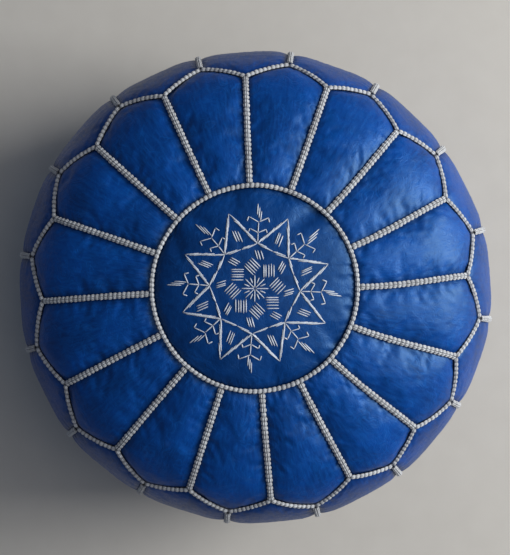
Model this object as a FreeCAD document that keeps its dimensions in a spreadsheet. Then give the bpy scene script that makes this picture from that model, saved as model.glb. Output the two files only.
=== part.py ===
"""Round leather floor pouf, hand sewn from panels, with a zip in its base.

The cover is one thin skin of leather over a stuffed core. Its section is a chain of
tangent arcs about the upright axis, and every panel is a piece of that skin:

- an embroidered medallion in the middle of the top
- petals round the medallion, side panels between their tips, and foot petals below
- a base cut in two halves, with a zip between them, drawn up into the stuffing

Braids of thread lie along every seam. Frame: millimetres, +Z up, with the origin on
the floor at the middle of the base. The zip runs along X.
"""

import FreeCAD, Part  # noqa: E401  FreeCAD has to come first
import Sketcher
import math
import os
import sys

from FreeCAD import Placement, Rotation, Vector

# name, value in mm (or a plain count), what it is
DIMENSIONS = (
    ("overall_radius", 265.0, "widest radius of the leather"),
    ("overall_height", 330.0, "floor to the top of the medallion"),
    ("waist_height", 158.0, "height of the widest circle"),
    ("crown_radius", 600.0, "arc across the top"),
    ("shoulder_radius", 100.0, "arc between the top and the side"),
    ("side_radius", 240.0, "arc of the side above the waist"),
    ("foot_shoulder_radius", 95.0, "arc between the base and the side"),
    ("foot_side_radius", 220.0, "arc of the side below the waist"),
    ("leather_thickness", 1.6, "goat leather with its backing cloth"),
    ("filling_clearance", 0.4, "leather to stuffing"),
    ("panel_count", 16, "petals round the medallion, and panels round the side"),
    ("seam_gap", 1.2, "edge to edge of two panels, under a braid"),
    ("medallion_radius", 104.0, "seam round the medallion"),
    ("junction_inset", 44.0, "widest radius to where the seam between two petals ends"),
    ("tip_inset", 25.0, "widest radius to the tip of each petal, seen from above"),
    ("base_inset", 81.0, "widest radius to the seam round the base"),
    ("braid_diameter", 4.4, "braid of thread over a seam"),
    ("braid_clearance", 0.15, "leather to braid"),
    ("braid_end_gap", 0.8, "end of one braid to the side of the next"),
    ("thread_width", 1.3, "embroidery thread, seen from above"),
    ("thread_height", 0.8, "embroidery thread above the leather"),
    ("thread_clearance", 0.05, "leather to embroidery thread"),
    ("embroidery_margin", 18.0, "seam round the medallion to the embroidery"),
    ("embroidery_turn", 16.4, "degrees from the X axis to a point of the star"),
    ("slot_half_width", 7.0, "zip opening in the base, across"),
    ("slot_end_gap", 2.0, "pull to the slot's end, with the zip open"),
    ("hem_height", 6.9, "leather turned up beside the zip"),
    ("tape_clearance", 0.1, "hem to zip tape"),
    ("tape_thickness", 0.6, "woven zip tape"),
    ("tape_half_width", 18.0, "middle of the zip to the tape's outer edge"),
    ("tape_end_gap", 1.2, "tape's end to the slot's end"),
    ("teeth_per_row", 78, "teeth on each tape"),
    ("tooth_pitch", 3.2, "tooth to tooth"),
    ("tooth_length", 1.9, "tooth along the zip"),
    ("tooth_width", 2.8, "tooth across the zip"),
    ("tooth_thickness", 2.8, "tooth through the tape"),
    ("row_gap", 1.4, "slit between the two rows of teeth"),
    ("stop_length", 3.0, "end stop along the zip"),
    ("slider_length", 13.0, "slider along the zip"),
    ("slider_plate", 1.1, "outer and inner plate of the slider"),
    ("slider_clearance", 0.3, "slider to teeth and tape"),
    ("slider_flange", 1.4, "side flange of the slider, across"),
    ("divider_width", 0.8, "web between the slider's plates"),
    ("divider_length", 3.5, "web between the slider's plates, along"),
    ("lug_height", 3.5, "lugs that hold the pull's pin"),
    ("lug_thickness", 1.1, "each lug, across"),
    ("lug_length", 4.0, "each lug, along"),
    ("pin_radius", 0.8, "pin through the pull's eye"),
    ("pin_clearance", 0.08, "pin to eye, on the radius"),
    ("eye_wall", 0.65, "metal round the eye"),
    ("eye_width", 4.4, "eye of the pull, across"),
    ("lug_clearance", 0.2, "eye to lug, each side"),
    ("pull_width", 7.6, "blade of the pull, across"),
    ("pull_length", 26.0, "pin to the end of the pull"),
    ("pull_thickness", 1.3, "blade of the pull"),
    ("pull_neck", 5.0, "pin to where the blade widens"),
    ("pull_hole_radius", 2.0, "hole at the pull's end"),
    ("zip_room", 3.0, "stuffing to the zip, above and beside it"),
)

SHEET = "Dimensions"
JUNCTION_RADIUS = "( overall_radius - junction_inset )"
TIP_RADIUS = "( overall_radius - tip_inset )"
BASE_RADIUS = "( overall_radius - base_inset )"
OVERCUT = 6.0  # how far a cutting region runs past what it cuts
TRIM_REACH = 1.2  # how far out the skin is trimmed, as a share of its radius
FULL_TURN = 360.0
MOTIF_REPEATS = 8
MOTIF_RADIUS = 86.0  # the motif as it was drawn: the tips of its fronds,
STAR_RADIUS = 77.0  # the points of its star,
KNOT_RADIUS = 44.5  # and the knots where the lines of the star cross


def fill_sheet(doc):
    """Writes the driving dimensions to the spreadsheet: name, plain number, meaning."""
    sheet = doc.addObject("Spreadsheet::Sheet", SHEET)
    for row, (name, value, meaning) in enumerate(DIMENSIONS, start=1):
        sheet.set(f"A{row}", name)
        sheet.set(f"B{row}", str(value))
        sheet.set(f"C{row}", meaning)
        sheet.setAlias(f"B{row}", name)
    doc.recompute()
    return sheet


def bound(expression):
    """An expression in the sheet's aliases, with the sheet's name put before each."""
    words = expression.replace("(", " ( ").replace(")", " ) ").split()
    aliases = {name for name, _, _ in DIMENSIONS}
    return " ".join(f"{SHEET}.{word}" if word in aliases else word for word in words)


def value(sheet, expression):
    """The number an expression in the sheet's aliases gives now."""
    return float(sheet.evalExpression(bound(expression)))


# --- bodies, sketches and features --------------------------------------------


def new_body(doc, label):
    body = doc.addObject("PartDesign::Body", label)
    body.Label = label
    return body


def origin_feature(body, role):
    return next(o for o in body.Origin.OriginFeatures if o.Role == role)


def new_sketch(body, name, plane="XY_Plane", height=None):
    """A sketch on one of the body's own origin planes, lifted by height."""
    sketch = body.newObject("Sketcher::SketchObject", name)
    sketch.AttachmentSupport = [(origin_feature(body, plane), "")]
    sketch.MapMode = "FlatFace"
    if height is not None:
        sketch.setExpression("AttachmentOffset.Base.z", bound(height))
    return sketch


def constrain(sketch, kind, *where, size=None):
    """Adds a constraint. A size is an expression in the sheet's aliases."""
    if size is None:
        return sketch.addConstraint(Sketcher.Constraint(kind, *where))
    sheet = sketch.Document.getObject(SHEET)
    number = value(sheet, size)
    if kind == "Angle":
        number = math.radians(number)
    index = sketch.addConstraint(Sketcher.Constraint(kind, *where, number))
    sketch.setExpression(f"Constraints[{index}]", bound(size))
    return index


def line(sketch, start, end, construction=False):
    segment = Part.LineSegment(Vector(*start, 0), Vector(*end, 0))
    return sketch.addGeometry(segment, construction)


def rectangle(sketch, low_x, high_x, low_y, high_y):
    """A rectangle whose four sides stand at the given expressions."""
    sheet = sketch.Document.getObject(SHEET)
    x0, x1, y0, y1 = (value(sheet, e) for e in (low_x, high_x, low_y, high_y))
    corners = [(x0, y0), (x1, y0), (x1, y1), (x0, y1)]
    sides = [line(sketch, corners[i], corners[(i + 1) % 4]) for i in range(4)]
    for i in range(4):
        constrain(sketch, "Coincident", sides[i], 2, sides[(i + 1) % 4], 1)
    for i in (0, 2):
        constrain(sketch, "Horizontal", sides[i])
    for i in (1, 3):
        constrain(sketch, "Vertical", sides[i])
    constrain(sketch, "DistanceX", -1, 1, sides[0], 1, size=low_x)
    constrain(sketch, "DistanceX", -1, 1, sides[2], 1, size=high_x)
    constrain(sketch, "DistanceY", -1, 1, sides[0], 1, size=low_y)
    constrain(sketch, "DistanceY", -1, 1, sides[2], 1, size=high_y)


def circle(sketch, x, y, radius):
    """A circle whose centre and radius are expressions."""
    sheet = sketch.Document.getObject(SHEET)
    centre = Vector(value(sheet, x), value(sheet, y), 0)
    ring = sketch.addGeometry(Part.Circle(centre, Vector(0, 0, 1), value(sheet, radius)))
    constrain(sketch, "DistanceX", -1, 1, ring, 3, size=x)
    constrain(sketch, "DistanceY", -1, 1, ring, 3, size=y)
    constrain(sketch, "Radius", ring, size=radius)


def extrude(body, kind, name, sketch, length, midplane=False):
    """A Pad or Pocket of a sketch, by an expression."""
    feature = body.newObject(f"PartDesign::{kind}", name)
    feature.Profile = sketch
    feature.setExpression("Length", bound(length))
    if midplane:
        feature.SideType = "Symmetric"
    feature.Refine = False
    body.Tip = feature
    return feature


def slab(body, name, x, y, z, kind="Pad"):
    """A box-shaped Pad or Pocket. x, y and z are pairs of expressions."""
    sketch = new_sketch(body, f"{name}_sketch", height=z[0])
    rectangle(sketch, *x, *y)
    feature = extrude(body, kind, name, sketch, f"( {z[1]} ) - ( {z[0]} )")
    feature.Reversed = kind == "Pocket"  # a pocket cuts down unless it is turned round
    return feature


def turned(body, kind, name, sketch, angle=FULL_TURN):
    """A Revolution or Groove about the upright axis, of a sketch on XZ_Plane."""
    feature = body.newObject(f"PartDesign::{kind}", name)
    feature.Profile = sketch
    feature.ReferenceAxis = (sketch, ["V_Axis"])
    feature.Angle = angle
    feature.Refine = False
    body.Tip = feature
    return feature


# --- the skin's section ---------------------------------------------------------


class Section:
    """The skin's half section at an inset from the leather's outer face: five tangent
    arcs from the top of the axis down to the base, each (centre, radius, from, to) with
    angles in radians that fall from a right angle to minus a right angle."""

    def __init__(self, sheet, inset):
        def size(name):
            return value(sheet, name)

        self.inset = inset
        self.top = size("overall_height") - inset
        radii = [
            size(name) - inset
            for name in (
                "crown_radius",
                "shoulder_radius",
                "side_radius",
                "foot_side_radius",
                "foot_shoulder_radius",
            )
        ]
        crown_r, shoulder_r, side_r, foot_side_r, foot_r = radii
        waist = Vector(size("overall_radius") - inset, size("waist_height"), 0)
        crown = Vector(0, self.top - crown_r, 0)
        side = waist - Vector(side_r, 0, 0)
        shoulder = self.inner_tangent(crown, crown_r, side, side_r, shoulder_r)
        foot_side = waist - Vector(foot_side_r, 0, 0)
        fall = waist.y - inset - foot_r
        foot_x = foot_side.x + math.sqrt((foot_side_r - foot_r) ** 2 - fall**2)
        foot = Vector(foot_x, inset + foot_r, 0)
        crown_turn = self.bearing(shoulder - crown)
        side_turn = self.bearing(shoulder - side)
        foot_turn = self.bearing(foot - foot_side)
        right_angle = math.pi / 2
        self.arcs = [
            (crown, crown_r, right_angle, crown_turn),
            (shoulder, shoulder_r, crown_turn, side_turn),
            (side, side_r, side_turn, 0.0),
            (foot_side, foot_side_r, 0.0, foot_turn),
            (foot, foot_r, foot_turn, -right_angle),
        ]

    @staticmethod
    def bearing(direction):
        return math.atan2(direction.y, direction.x)

    @staticmethod
    def inner_tangent(first, first_r, second, second_r, small_r):
        """Centre of the small circle that touches two large ones from inside."""
        reach_1 = first_r - small_r
        reach_2 = second_r - small_r
        apart = (second - first).Length
        along = (reach_1**2 - reach_2**2 + apart**2) / (2 * apart)
        across = math.sqrt(reach_1**2 - along**2)
        unit = (second - first) / apart
        normal = Vector(unit.y, -unit.x, 0)
        sides = [first + unit * along + normal * (across * s) for s in (1, -1)]
        return max(sides, key=lambda centre: centre.x)

    def point(self, index, angle):
        centre, radius, _, _ = self.arcs[index]
        return centre + Vector(math.cos(angle), math.sin(angle), 0) * radius

    def locate(self, radius, upper):
        """(arc, angle) where the section stands at this radius from the axis, above or
        below the waist."""
        for index in (0, 1, 2) if upper else (4, 3):
            centre, arc_r, start, end = self.arcs[index]
            low, high = sorted(self.point(index, a).x for a in (start, end))
            if low - 1e-9 <= radius <= high + 1e-9:
                angle = math.acos(min(1.0, (radius - centre.x) / arc_r))
                return index, angle if upper else -angle
        raise ValueError(f"the section doesn't reach radius {radius:.1f}")

    def at(self, radius, upper):
        """(point, outward normal) of the section at this radius from the axis."""
        index, angle = self.locate(radius, upper)
        return self.point(index, angle), Vector(math.cos(angle), math.sin(angle), 0)

    def edges(self, first, last):
        """Arc edges in the XZ plane between two places given as (arc, angle)."""
        made = []
        for index in range(first[0], last[0] + 1):
            _, _, start, end = self.arcs[index]
            start = first[1] if index == first[0] else start
            end = last[1] if index == last[0] else end
            if abs(start - end) > 1e-6:
                places = (start, (start + end) / 2, end)
                points = [self.point(index, angle) for angle in places]
                arc = Part.Arc(*[Vector(p.x, 0, p.y) for p in points])
                made.append(arc.toShape())
        return made


def section_chain(sketch, inset):
    """Draws the section at an inset (an expression), fully bound to the sheet, from the
    top of the axis to the bottom. Returns (first arc, base line)."""
    sheet = sketch.Document.getObject(SHEET)
    section = Section(sheet, value(sheet, inset))
    up = Vector(0, 0, 1)
    chain = [
        sketch.addGeometry(Part.ArcOfCircle(Part.Circle(centre, up, r), end, start))
        for centre, r, start, end in section.arcs
    ]
    crown, shoulder, side, foot_side, foot = chain
    last = section.point(4, -math.pi / 2)
    base = line(sketch, (last.x, last.y), (0, last.y))
    radii = (
        (crown, "crown_radius"),
        (shoulder, "shoulder_radius"),
        (side, "side_radius"),
        (foot_side, "foot_side_radius"),
        (foot, "foot_shoulder_radius"),
    )
    for arc, name in radii:
        constrain(sketch, "Radius", arc, size=f"{name} - ( {inset} )")
    constrain(sketch, "PointOnObject", crown, 3, -2)
    constrain(sketch, "PointOnObject", crown, 2, -2)
    height = f"overall_height - ( {inset} )"
    constrain(sketch, "DistanceY", -1, 1, crown, 2, size=height)
    constrain(sketch, "Tangent", crown, 1, shoulder, 2)
    constrain(sketch, "Tangent", shoulder, 1, side, 2)
    constrain(sketch, "Coincident", side, 1, foot_side, 2)
    constrain(sketch, "Horizontal", side, 1, side, 3)
    constrain(sketch, "Horizontal", foot_side, 2, foot_side, 3)
    width = f"overall_radius - ( {inset} )"
    constrain(sketch, "DistanceX", -1, 1, side, 1, size=width)
    constrain(sketch, "DistanceY", -1, 1, side, 1, size="waist_height")
    constrain(sketch, "Tangent", foot_side, 1, foot, 2)
    constrain(sketch, "Tangent", foot, 1, base, 1)
    constrain(sketch, "Horizontal", base)
    constrain(sketch, "PointOnObject", base, 2, -2)
    constrain(sketch, "DistanceY", -1, 1, base, 2, size=inset)
    return crown, base


def close_inside(sketch, crown, base):
    """Closes a chain along the axis, so that the region is what the skin holds."""
    sheet = sketch.Document.getObject(SHEET)
    top = value(sheet, "overall_height")
    axis = line(sketch, (0, 0), (0, top))
    constrain(sketch, "Coincident", axis, 1, base, 2)
    constrain(sketch, "Coincident", axis, 2, crown, 2)


def close_outside(sketch, crown, base):
    """Closes a chain round its outside, so that the region is all that lies past it."""
    sheet = sketch.Document.getObject(SHEET)
    wide = value(sheet, "overall_radius") * TRIM_REACH
    high = value(sheet, "overall_height") + OVERCUT
    corners = [(0, 0), (0, -OVERCUT), (wide, -OVERCUT), (wide, high), (0, high)]
    corners.append((0, high - OVERCUT))
    run = [line(sketch, a, b) for a, b in zip(corners, corners[1:])]
    constrain(sketch, "Coincident", run[0], 1, base, 2)
    for first, second in zip(run, run[1:]):
        constrain(sketch, "Coincident", first, 2, second, 1)
    constrain(sketch, "Coincident", run[-1], 2, crown, 2)
    for upright in (run[0], run[2], run[4]):
        constrain(sketch, "Vertical", upright)
    for level in (run[1], run[3]):
        constrain(sketch, "Horizontal", level)
    over = str(OVERCUT)
    constrain(sketch, "DistanceY", run[0], 2, run[0], 1, size=over)
    constrain(sketch, "DistanceY", run[4], 2, run[4], 1, size=over)
    reach = f"overall_radius * {TRIM_REACH}"
    constrain(sketch, "DistanceX", -1, 1, run[2], 1, size=reach)


def keep_skin(body, outer, inner):
    """Cuts a body down to the layer between two insets of the section."""
    trim = new_sketch(body, "skin_section", "XZ_Plane")
    close_outside(trim, *section_chain(trim, outer))
    close_inside(trim, *section_chain(trim, inner))
    return turned(body, "Groove", "skin_layer", trim)


# --- leather panels --------------------------------------------------------------


def mirror_outline(sketch, side, nose):
    """Adds the mirror images, across the X axis, of a side and of the nose that runs
    from it to the axis. The far end of the returned side is left to be tied."""
    copies = []
    for original in (side, nose):
        segment = sketch.Geometry[original]
        start, end = segment.StartPoint, segment.EndPoint
        copies.append(line(sketch, (end.x, -end.y), (start.x, -start.y)))
    far_side, far_nose = copies
    constrain(sketch, "Coincident", nose, 2, far_nose, 1)
    constrain(sketch, "Coincident", far_nose, 2, far_side, 1)
    constrain(sketch, "Symmetric", side, 2, far_side, 1, -1)
    return far_side


def beside(point, direction, distance):
    """A point moved to the left of a direction."""
    unit = Vector(direction).normalize()
    return point + Vector(-unit.y, unit.x, 0) * distance


def crossing(point_1, direction_1, point_2, direction_2):
    """Where two lines in the sketch plane cross."""
    cross = direction_1.x * direction_2.y - direction_1.y * direction_2.x
    gap = point_2 - point_1
    share = (gap.x * direction_2.y - gap.y * direction_2.x) / cross
    return point_1 + direction_1 * share


def seam_corners(sheet):
    """In a petal's own frame, centred on +X: (end of the seam beside it, its tip)."""
    half = math.pi / value(sheet, "panel_count")
    junction = value(sheet, JUNCTION_RADIUS)
    corner = Vector(math.cos(half), math.sin(half), 0) * junction
    return corner, Vector(value(sheet, TIP_RADIUS), 0, 0)


def petal_outline(sketch, ring_radius):
    """A petal seen from above: an arc at the ring, two sides and a blunt point."""
    sheet = sketch.Document.getObject(SHEET)
    junction, tip = seam_corners(sheet)
    gap = value(sheet, "seam_gap") / 2
    ring = value(sheet, ring_radius) + gap
    along = tip - junction
    offset = beside(junction, junction, -gap)
    near = offset + junction * (ring / junction.Length - 1)
    near = near * (ring / near.Length)
    point = beside(tip, along, -gap)
    corner = crossing(offset, junction, point, along)
    end = crossing(point, along, Vector(0, 0, 0), Vector(1, 0, 0))
    seam = line(sketch, (0, 0), (junction.x, junction.y), construction=True)
    edge = line(sketch, (junction.x, junction.y), (tip.x, tip.y), construction=True)
    constrain(sketch, "Coincident", seam, 1, -1, 1)
    constrain(sketch, "Distance", seam, size=JUNCTION_RADIUS)
    constrain(sketch, "Angle", -1, 1, seam, 1, size="180 / panel_count")
    constrain(sketch, "Coincident", seam, 2, edge, 1)
    constrain(sketch, "PointOnObject", edge, 2, -1)
    constrain(sketch, "DistanceX", -1, 1, edge, 2, size=TIP_RADIUS)
    side = line(sketch, (near.x, near.y), (corner.x, corner.y))
    nose = line(sketch, (corner.x, corner.y), (end.x, end.y))
    constrain(sketch, "Parallel", side, seam)
    constrain(sketch, "Distance", seam, 2, side, size="seam_gap / 2")
    constrain(sketch, "Coincident", side, 2, nose, 1)
    constrain(sketch, "Parallel", nose, edge)
    constrain(sketch, "Distance", edge, 2, nose, size="seam_gap / 2")
    constrain(sketch, "PointOnObject", nose, 2, -1)
    far_side = mirror_outline(sketch, side, nose)
    constrain(sketch, "Vertical", side, 1, far_side, 2)
    turn = math.atan2(near.y, near.x)
    round_ring = Part.Circle(Vector(0, 0, 0), Vector(0, 0, 1), ring)
    arc = sketch.addGeometry(Part.ArcOfCircle(round_ring, -turn, turn))
    constrain(sketch, "Coincident", arc, 3, -1, 1)
    constrain(sketch, "Radius", arc, size=f"{ring_radius} + seam_gap / 2")
    constrain(sketch, "Coincident", arc, 2, side, 1)
    constrain(sketch, "Coincident", arc, 1, far_side, 2)


def side_outline(sketch):
    """A side panel seen from above, centred on a seam between petals: its point lies
    between two petals, and it widens to their tips and out past the skin."""
    sheet = sketch.Document.getObject(SHEET)
    half = math.pi / value(sheet, "panel_count")
    gap = value(sheet, "seam_gap") / 2
    junction = Vector(value(sheet, JUNCTION_RADIUS), 0, 0)
    tip = Vector(math.cos(half), math.sin(half), 0) * value(sheet, TIP_RADIUS)
    wide = value(sheet, "overall_radius") + OVERCUT
    along = tip - junction
    offset = beside(tip, tip, -gap)
    point = beside(tip, along, -gap)
    start = crossing(point, along, Vector(0, 0, 0), Vector(1, 0, 0))
    corner = crossing(point, along, offset, tip)
    far = crossing(offset, tip, Vector(wide, 0, 0), Vector(0, 1, 0))
    seam = line(sketch, (0, 0), (tip.x, tip.y), construction=True)
    edge = line(sketch, (junction.x, junction.y), (tip.x, tip.y), construction=True)
    constrain(sketch, "Coincident", seam, 1, -1, 1)
    constrain(sketch, "Distance", seam, size=TIP_RADIUS)
    constrain(sketch, "Angle", -1, 1, seam, 1, size="180 / panel_count")
    constrain(sketch, "Coincident", seam, 2, edge, 2)
    constrain(sketch, "PointOnObject", edge, 1, -1)
    constrain(sketch, "DistanceX", -1, 1, edge, 1, size=JUNCTION_RADIUS)
    side = line(sketch, (far.x, far.y), (corner.x, corner.y))
    nose = line(sketch, (corner.x, corner.y), (start.x, start.y))
    constrain(sketch, "Parallel", side, seam)
    constrain(sketch, "Distance", seam, 2, side, size="seam_gap / 2")
    constrain(sketch, "DistanceX", -1, 1, side, 1, size=f"overall_radius + {OVERCUT}")
    constrain(sketch, "Coincident", side, 2, nose, 1)
    constrain(sketch, "Parallel", nose, edge)
    constrain(sketch, "Distance", edge, 2, nose, size="seam_gap / 2")
    constrain(sketch, "PointOnObject", nose, 2, -1)
    far_side = mirror_outline(sketch, side, nose)
    constrain(sketch, "Symmetric", side, 1, far_side, 2, -1)
    back = line(sketch, (far.x, -far.y), (far.x, far.y))
    constrain(sketch, "Coincident", back, 1, far_side, 2)
    constrain(sketch, "Coincident", back, 2, side, 1)


def leather_panel(doc, label, draw_outline, low, high, turn):
    """One panel: its outline seen from above, padded from low to high, cut down to the
    skin, and turned to its place round the axis."""
    body = new_body(doc, label)
    outline = new_sketch(body, "outline", height=low)
    draw_outline(outline)
    extrude(body, "Pad", "cut_to_outline", outline, f"( {high} ) - ( {low} )")
    keep_skin(body, "0", "leather_thickness")
    body.Placement = Placement(Vector(0, 0, 0), Rotation(Vector(0, 0, 1), turn))
    return body


def make_panels(doc, sheet):
    """The petals, the side panels and the foot petals, all the way round."""
    count = int(value(sheet, "panel_count"))
    pitch = FULL_TURN / count
    made = []

    def upper_petal(sketch):
        petal_outline(sketch, "medallion_radius")

    def foot_petal(sketch):
        petal_outline(sketch, BASE_RADIUS)

    for n in range(count):
        name = f"{n + 1:02d}"
        middle = (n + 0.5) * pitch
        top = ("waist_height", "overall_height")
        made.append(leather_panel(doc, f"top_petal_{name}", upper_petal, *top, middle))
        whole = ("0", "overall_height")
        made.append(leather_panel(doc, f"side_panel_{name}", side_outline, *whole, n * pitch))
        foot = ("0", "waist_height")
        made.append(leather_panel(doc, f"foot_petal_{name}", foot_petal, *foot, middle))
    return made


def make_medallion(doc):
    """The round of leather in the middle of the top."""

    def outline(sketch):
        circle(sketch, "0", "0", "medallion_radius - seam_gap / 2")

    return leather_panel(doc, "medallion", outline, "waist_height", "overall_height", 0)


def make_base_half(doc, label, turn):
    """Half of the round base. Its straight edge meets the other half, but for the slot
    for the zip, where the leather is turned up as a hem."""
    body = new_body(doc, label)
    disc = new_sketch(body, "disc", height="0")
    circle(disc, "0", "0", f"{BASE_RADIUS} - seam_gap / 2")
    extrude(body, "Pad", "cut_to_outline", disc, "waist_height")
    keep_skin(body, "0", "leather_thickness")
    past = (f"0 - {BASE_RADIUS}", BASE_RADIUS)
    slab(body, "hem", *hem_block(), ("leather_thickness / 2", "hem_height"))
    other_half = (f"0 - {BASE_RADIUS}", "seam_gap / 2")
    slab(body, "other_half", past, other_half, ("0", "waist_height"), "Pocket")
    along = (f"0 - {SLOT_HALF_LENGTH}", SLOT_HALF_LENGTH)
    across = ("0", "slot_half_width")
    slab(body, "slot", along, across, ("0", "waist_height"), "Pocket")
    body.Placement = Placement(Vector(0, 0, 0), Rotation(Vector(0, 0, 1), turn))
    return body


def hem_block():
    """The block that the hem is cut from: the slot, with leather all round it."""
    long = f"( {SLOT_HALF_LENGTH} + leather_thickness )"
    return (f"0 - {long}", long), ("0", "slot_half_width + leather_thickness")


# --- the stuffed core --------------------------------------------------------------


def make_filling(doc):
    """The stuffing: what the skin holds, with a groove for the zip in its base."""
    body = new_body(doc, "filling")
    core = new_sketch(body, "core_section", "XZ_Plane")
    chain = section_chain(core, "leather_thickness + filling_clearance")
    close_inside(core, *chain)
    turned(body, "Revolution", "core", core)
    long = f"( {SLOT_HALF_LENGTH} + leather_thickness + zip_room )"
    wide = "( tape_half_width + zip_room )"
    x, y = (f"0 - {long}", long), (f"0 - {wide}", wide)
    slab(body, "zip_groove", x, y, ("0", f"{inner_plate()[1]} + zip_room"), "Pocket")
    return body


# --- braids over the seams ---------------------------------------------------------


def tube(edges, radius):
    """A round tube along a wire of arcs."""
    path = Part.Wire(edges)
    first = edges[0]
    start = first.valueAt(first.FirstParameter)
    tangent = first.tangentAt(first.FirstParameter)
    profile = Part.Wire([Part.makeCircle(radius, start, tangent)])
    return path.makePipeShell([profile], True, True)


def turned_copies(shape, count, first_turn):
    """Copies of a shape, evenly round the upright axis."""
    copies = []
    for n in range(count):
        copy = shape.copy()
        turn = first_turn + n * FULL_TURN / count
        copy.rotate(Vector(0, 0, 0), Vector(0, 0, 1), turn)
        copies.append(copy)
    return copies


class BraidPlan:
    """Where the braids lie: on the leather, each end clear of the braid that it meets."""

    def __init__(self, sheet):
        self.sheet = sheet
        self.count = int(value(sheet, "panel_count"))
        self.half_pitch = FULL_TURN / self.count / 2
        self.radius = value(sheet, "braid_diameter") / 2
        self.lift = self.radius + value(sheet, "braid_clearance")
        self.end_room = self.radius + value(sheet, "braid_end_gap")
        self.skin = Section(sheet, 0.0)
        self.line = Section(sheet, -self.lift)

    def seat(self, radius, upper):
        """The braid's centre over the skin at this radius: (radius, height)."""
        point, normal = self.skin.at(radius, upper)
        return point + normal * self.lift

    def ring(self, radius, upper):
        centre = self.seat(radius, upper)
        return Part.makeTorus(centre.x, self.radius, Vector(0, 0, centre.y))

    def along(self, first, last):
        """A braid in the XZ plane between two places on the braid line."""
        return tube(self.line.edges(first, last), self.radius)

    def place(self, radius, upper, shift):
        """A place on the braid line, moved by shift along it, down being positive."""
        index, angle = self.skin.locate(radius, upper)
        return index, angle - shift / self.line.arcs[index][1]

    def radials(self, ring_radius, upper):
        """The braids between petals, from the ring to where the seams fork."""
        room = self.radius + self.end_room
        outward = 1 if upper else -1
        near = self.place(ring_radius, upper, outward * room)
        fork = value(self.sheet, JUNCTION_RADIUS)
        far = self.place(fork, upper, -outward * self.end_room)
        shape = self.along(*((near, far) if upper else (far, near)))
        return turned_copies(shape, self.count, 0.0)

    def chevrons(self, upper):
        """The braids round the petals' blunt points."""
        junction, tip = seam_corners(self.sheet)
        along = tip - junction
        room = self.end_room / along.Length
        points = []
        for share in (room, 0.5, 1 - room):
            above = junction + along * share
            seat = self.seat(above.Length, upper)
            out = above * (seat.x / above.Length)
            points.append(Vector(out.x, out.y, seat.y))
        one = tube([Part.Arc(*points).toShape()], self.radius)
        other = one.mirror(Vector(0, 0, 0), Vector(0, 1, 0))
        first = turned_copies(one, self.count, self.half_pitch)
        return first + turned_copies(other, self.count, self.half_pitch)

    def sides(self):
        """The upright braids between side panels."""
        tip = value(self.sheet, TIP_RADIUS)
        top = self.place(tip, True, self.end_room)
        bottom = self.place(tip, False, -self.end_room)
        return turned_copies(self.along(top, bottom), self.count, self.half_pitch)


def add_shape(doc, label, solids):
    """A node made of several separate solids, as a Part::Feature."""
    feature = doc.addObject("Part::Feature", label)
    feature.Label = label
    feature.Shape = Part.makeCompound(solids)
    feature.Placement = Placement()
    return feature


def make_braids(doc, sheet):
    plan = BraidPlan(sheet)
    ring, base = value(sheet, "medallion_radius"), value(sheet, BASE_RADIUS)
    upper = [plan.ring(ring, True)] + plan.radials(ring, True) + plan.chevrons(True)
    lower = [plan.ring(base, False)] + plan.radials(base, False) + plan.chevrons(False)
    return [
        add_shape(doc, "upper_braids", upper),
        add_shape(doc, "side_braids", plan.sides()),
        add_shape(doc, "lower_braids", lower),
    ]


# --- embroidery on the medallion ------------------------------------------------------


def polar(radius, degrees):
    turn = math.radians(degrees)
    return Vector(radius * math.cos(turn), radius * math.sin(turn), 0)


def hatch(centre, direction, length, spacing, count):
    """Evenly spaced parallel stitches round a centre."""
    step = polar(spacing, direction + 90)
    run = polar(length / 2, direction)
    middle = (count - 1) / 2
    stitches = []
    for n in range(count):
        at = centre + step * (n - middle)
        stitches.append((at - run, at + run))
    return stitches


def motif(sheet):
    """The stitches of one repeat of the embroidery, as (start, end): a point of the
    star on +X, and the frond that grows between it and the next point. The motif is
    drawn to scale with the room that the medallion leaves it."""
    room = value(sheet, "medallion_radius") - value(sheet, "embroidery_margin")
    scale = room / MOTIF_RADIUS
    star, knot = STAR_RADIUS * scale, KNOT_RADIUS * scale
    clear = 2.6 * scale
    between = FULL_TURN / MOTIF_REPEATS / 2

    def shortened(start, end):
        unit = (end - start).normalize()
        return start + unit * clear, end - unit * clear

    point, crossing_up = polar(star, 0), polar(knot, between)
    crossing_down = polar(knot, -between)
    stitches = [
        shortened(point, crossing_up),
        shortened(point, crossing_down),
        shortened(crossing_down, crossing_up),
    ]
    stitches += frond(room, knot, clear, between)
    narrow = clear * 0.85
    stitches += hatch(polar(star * 0.7, 0), 14, 10 * scale, narrow, 3)
    stitches += hatch(polar(knot * 0.77, between), between + 24, 9 * scale, narrow, 3)
    square = polar(knot * 0.49, -between / 2)
    stitches += hatch(square, 40 - between / 2, 12 * scale, clear, 5)
    stitches.append((polar(clear * 1.6, 0), polar(12 * scale, 0)))
    stitches.append((polar(clear * 1.6, between), polar(10.5 * scale, between)))
    return stitches


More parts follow.
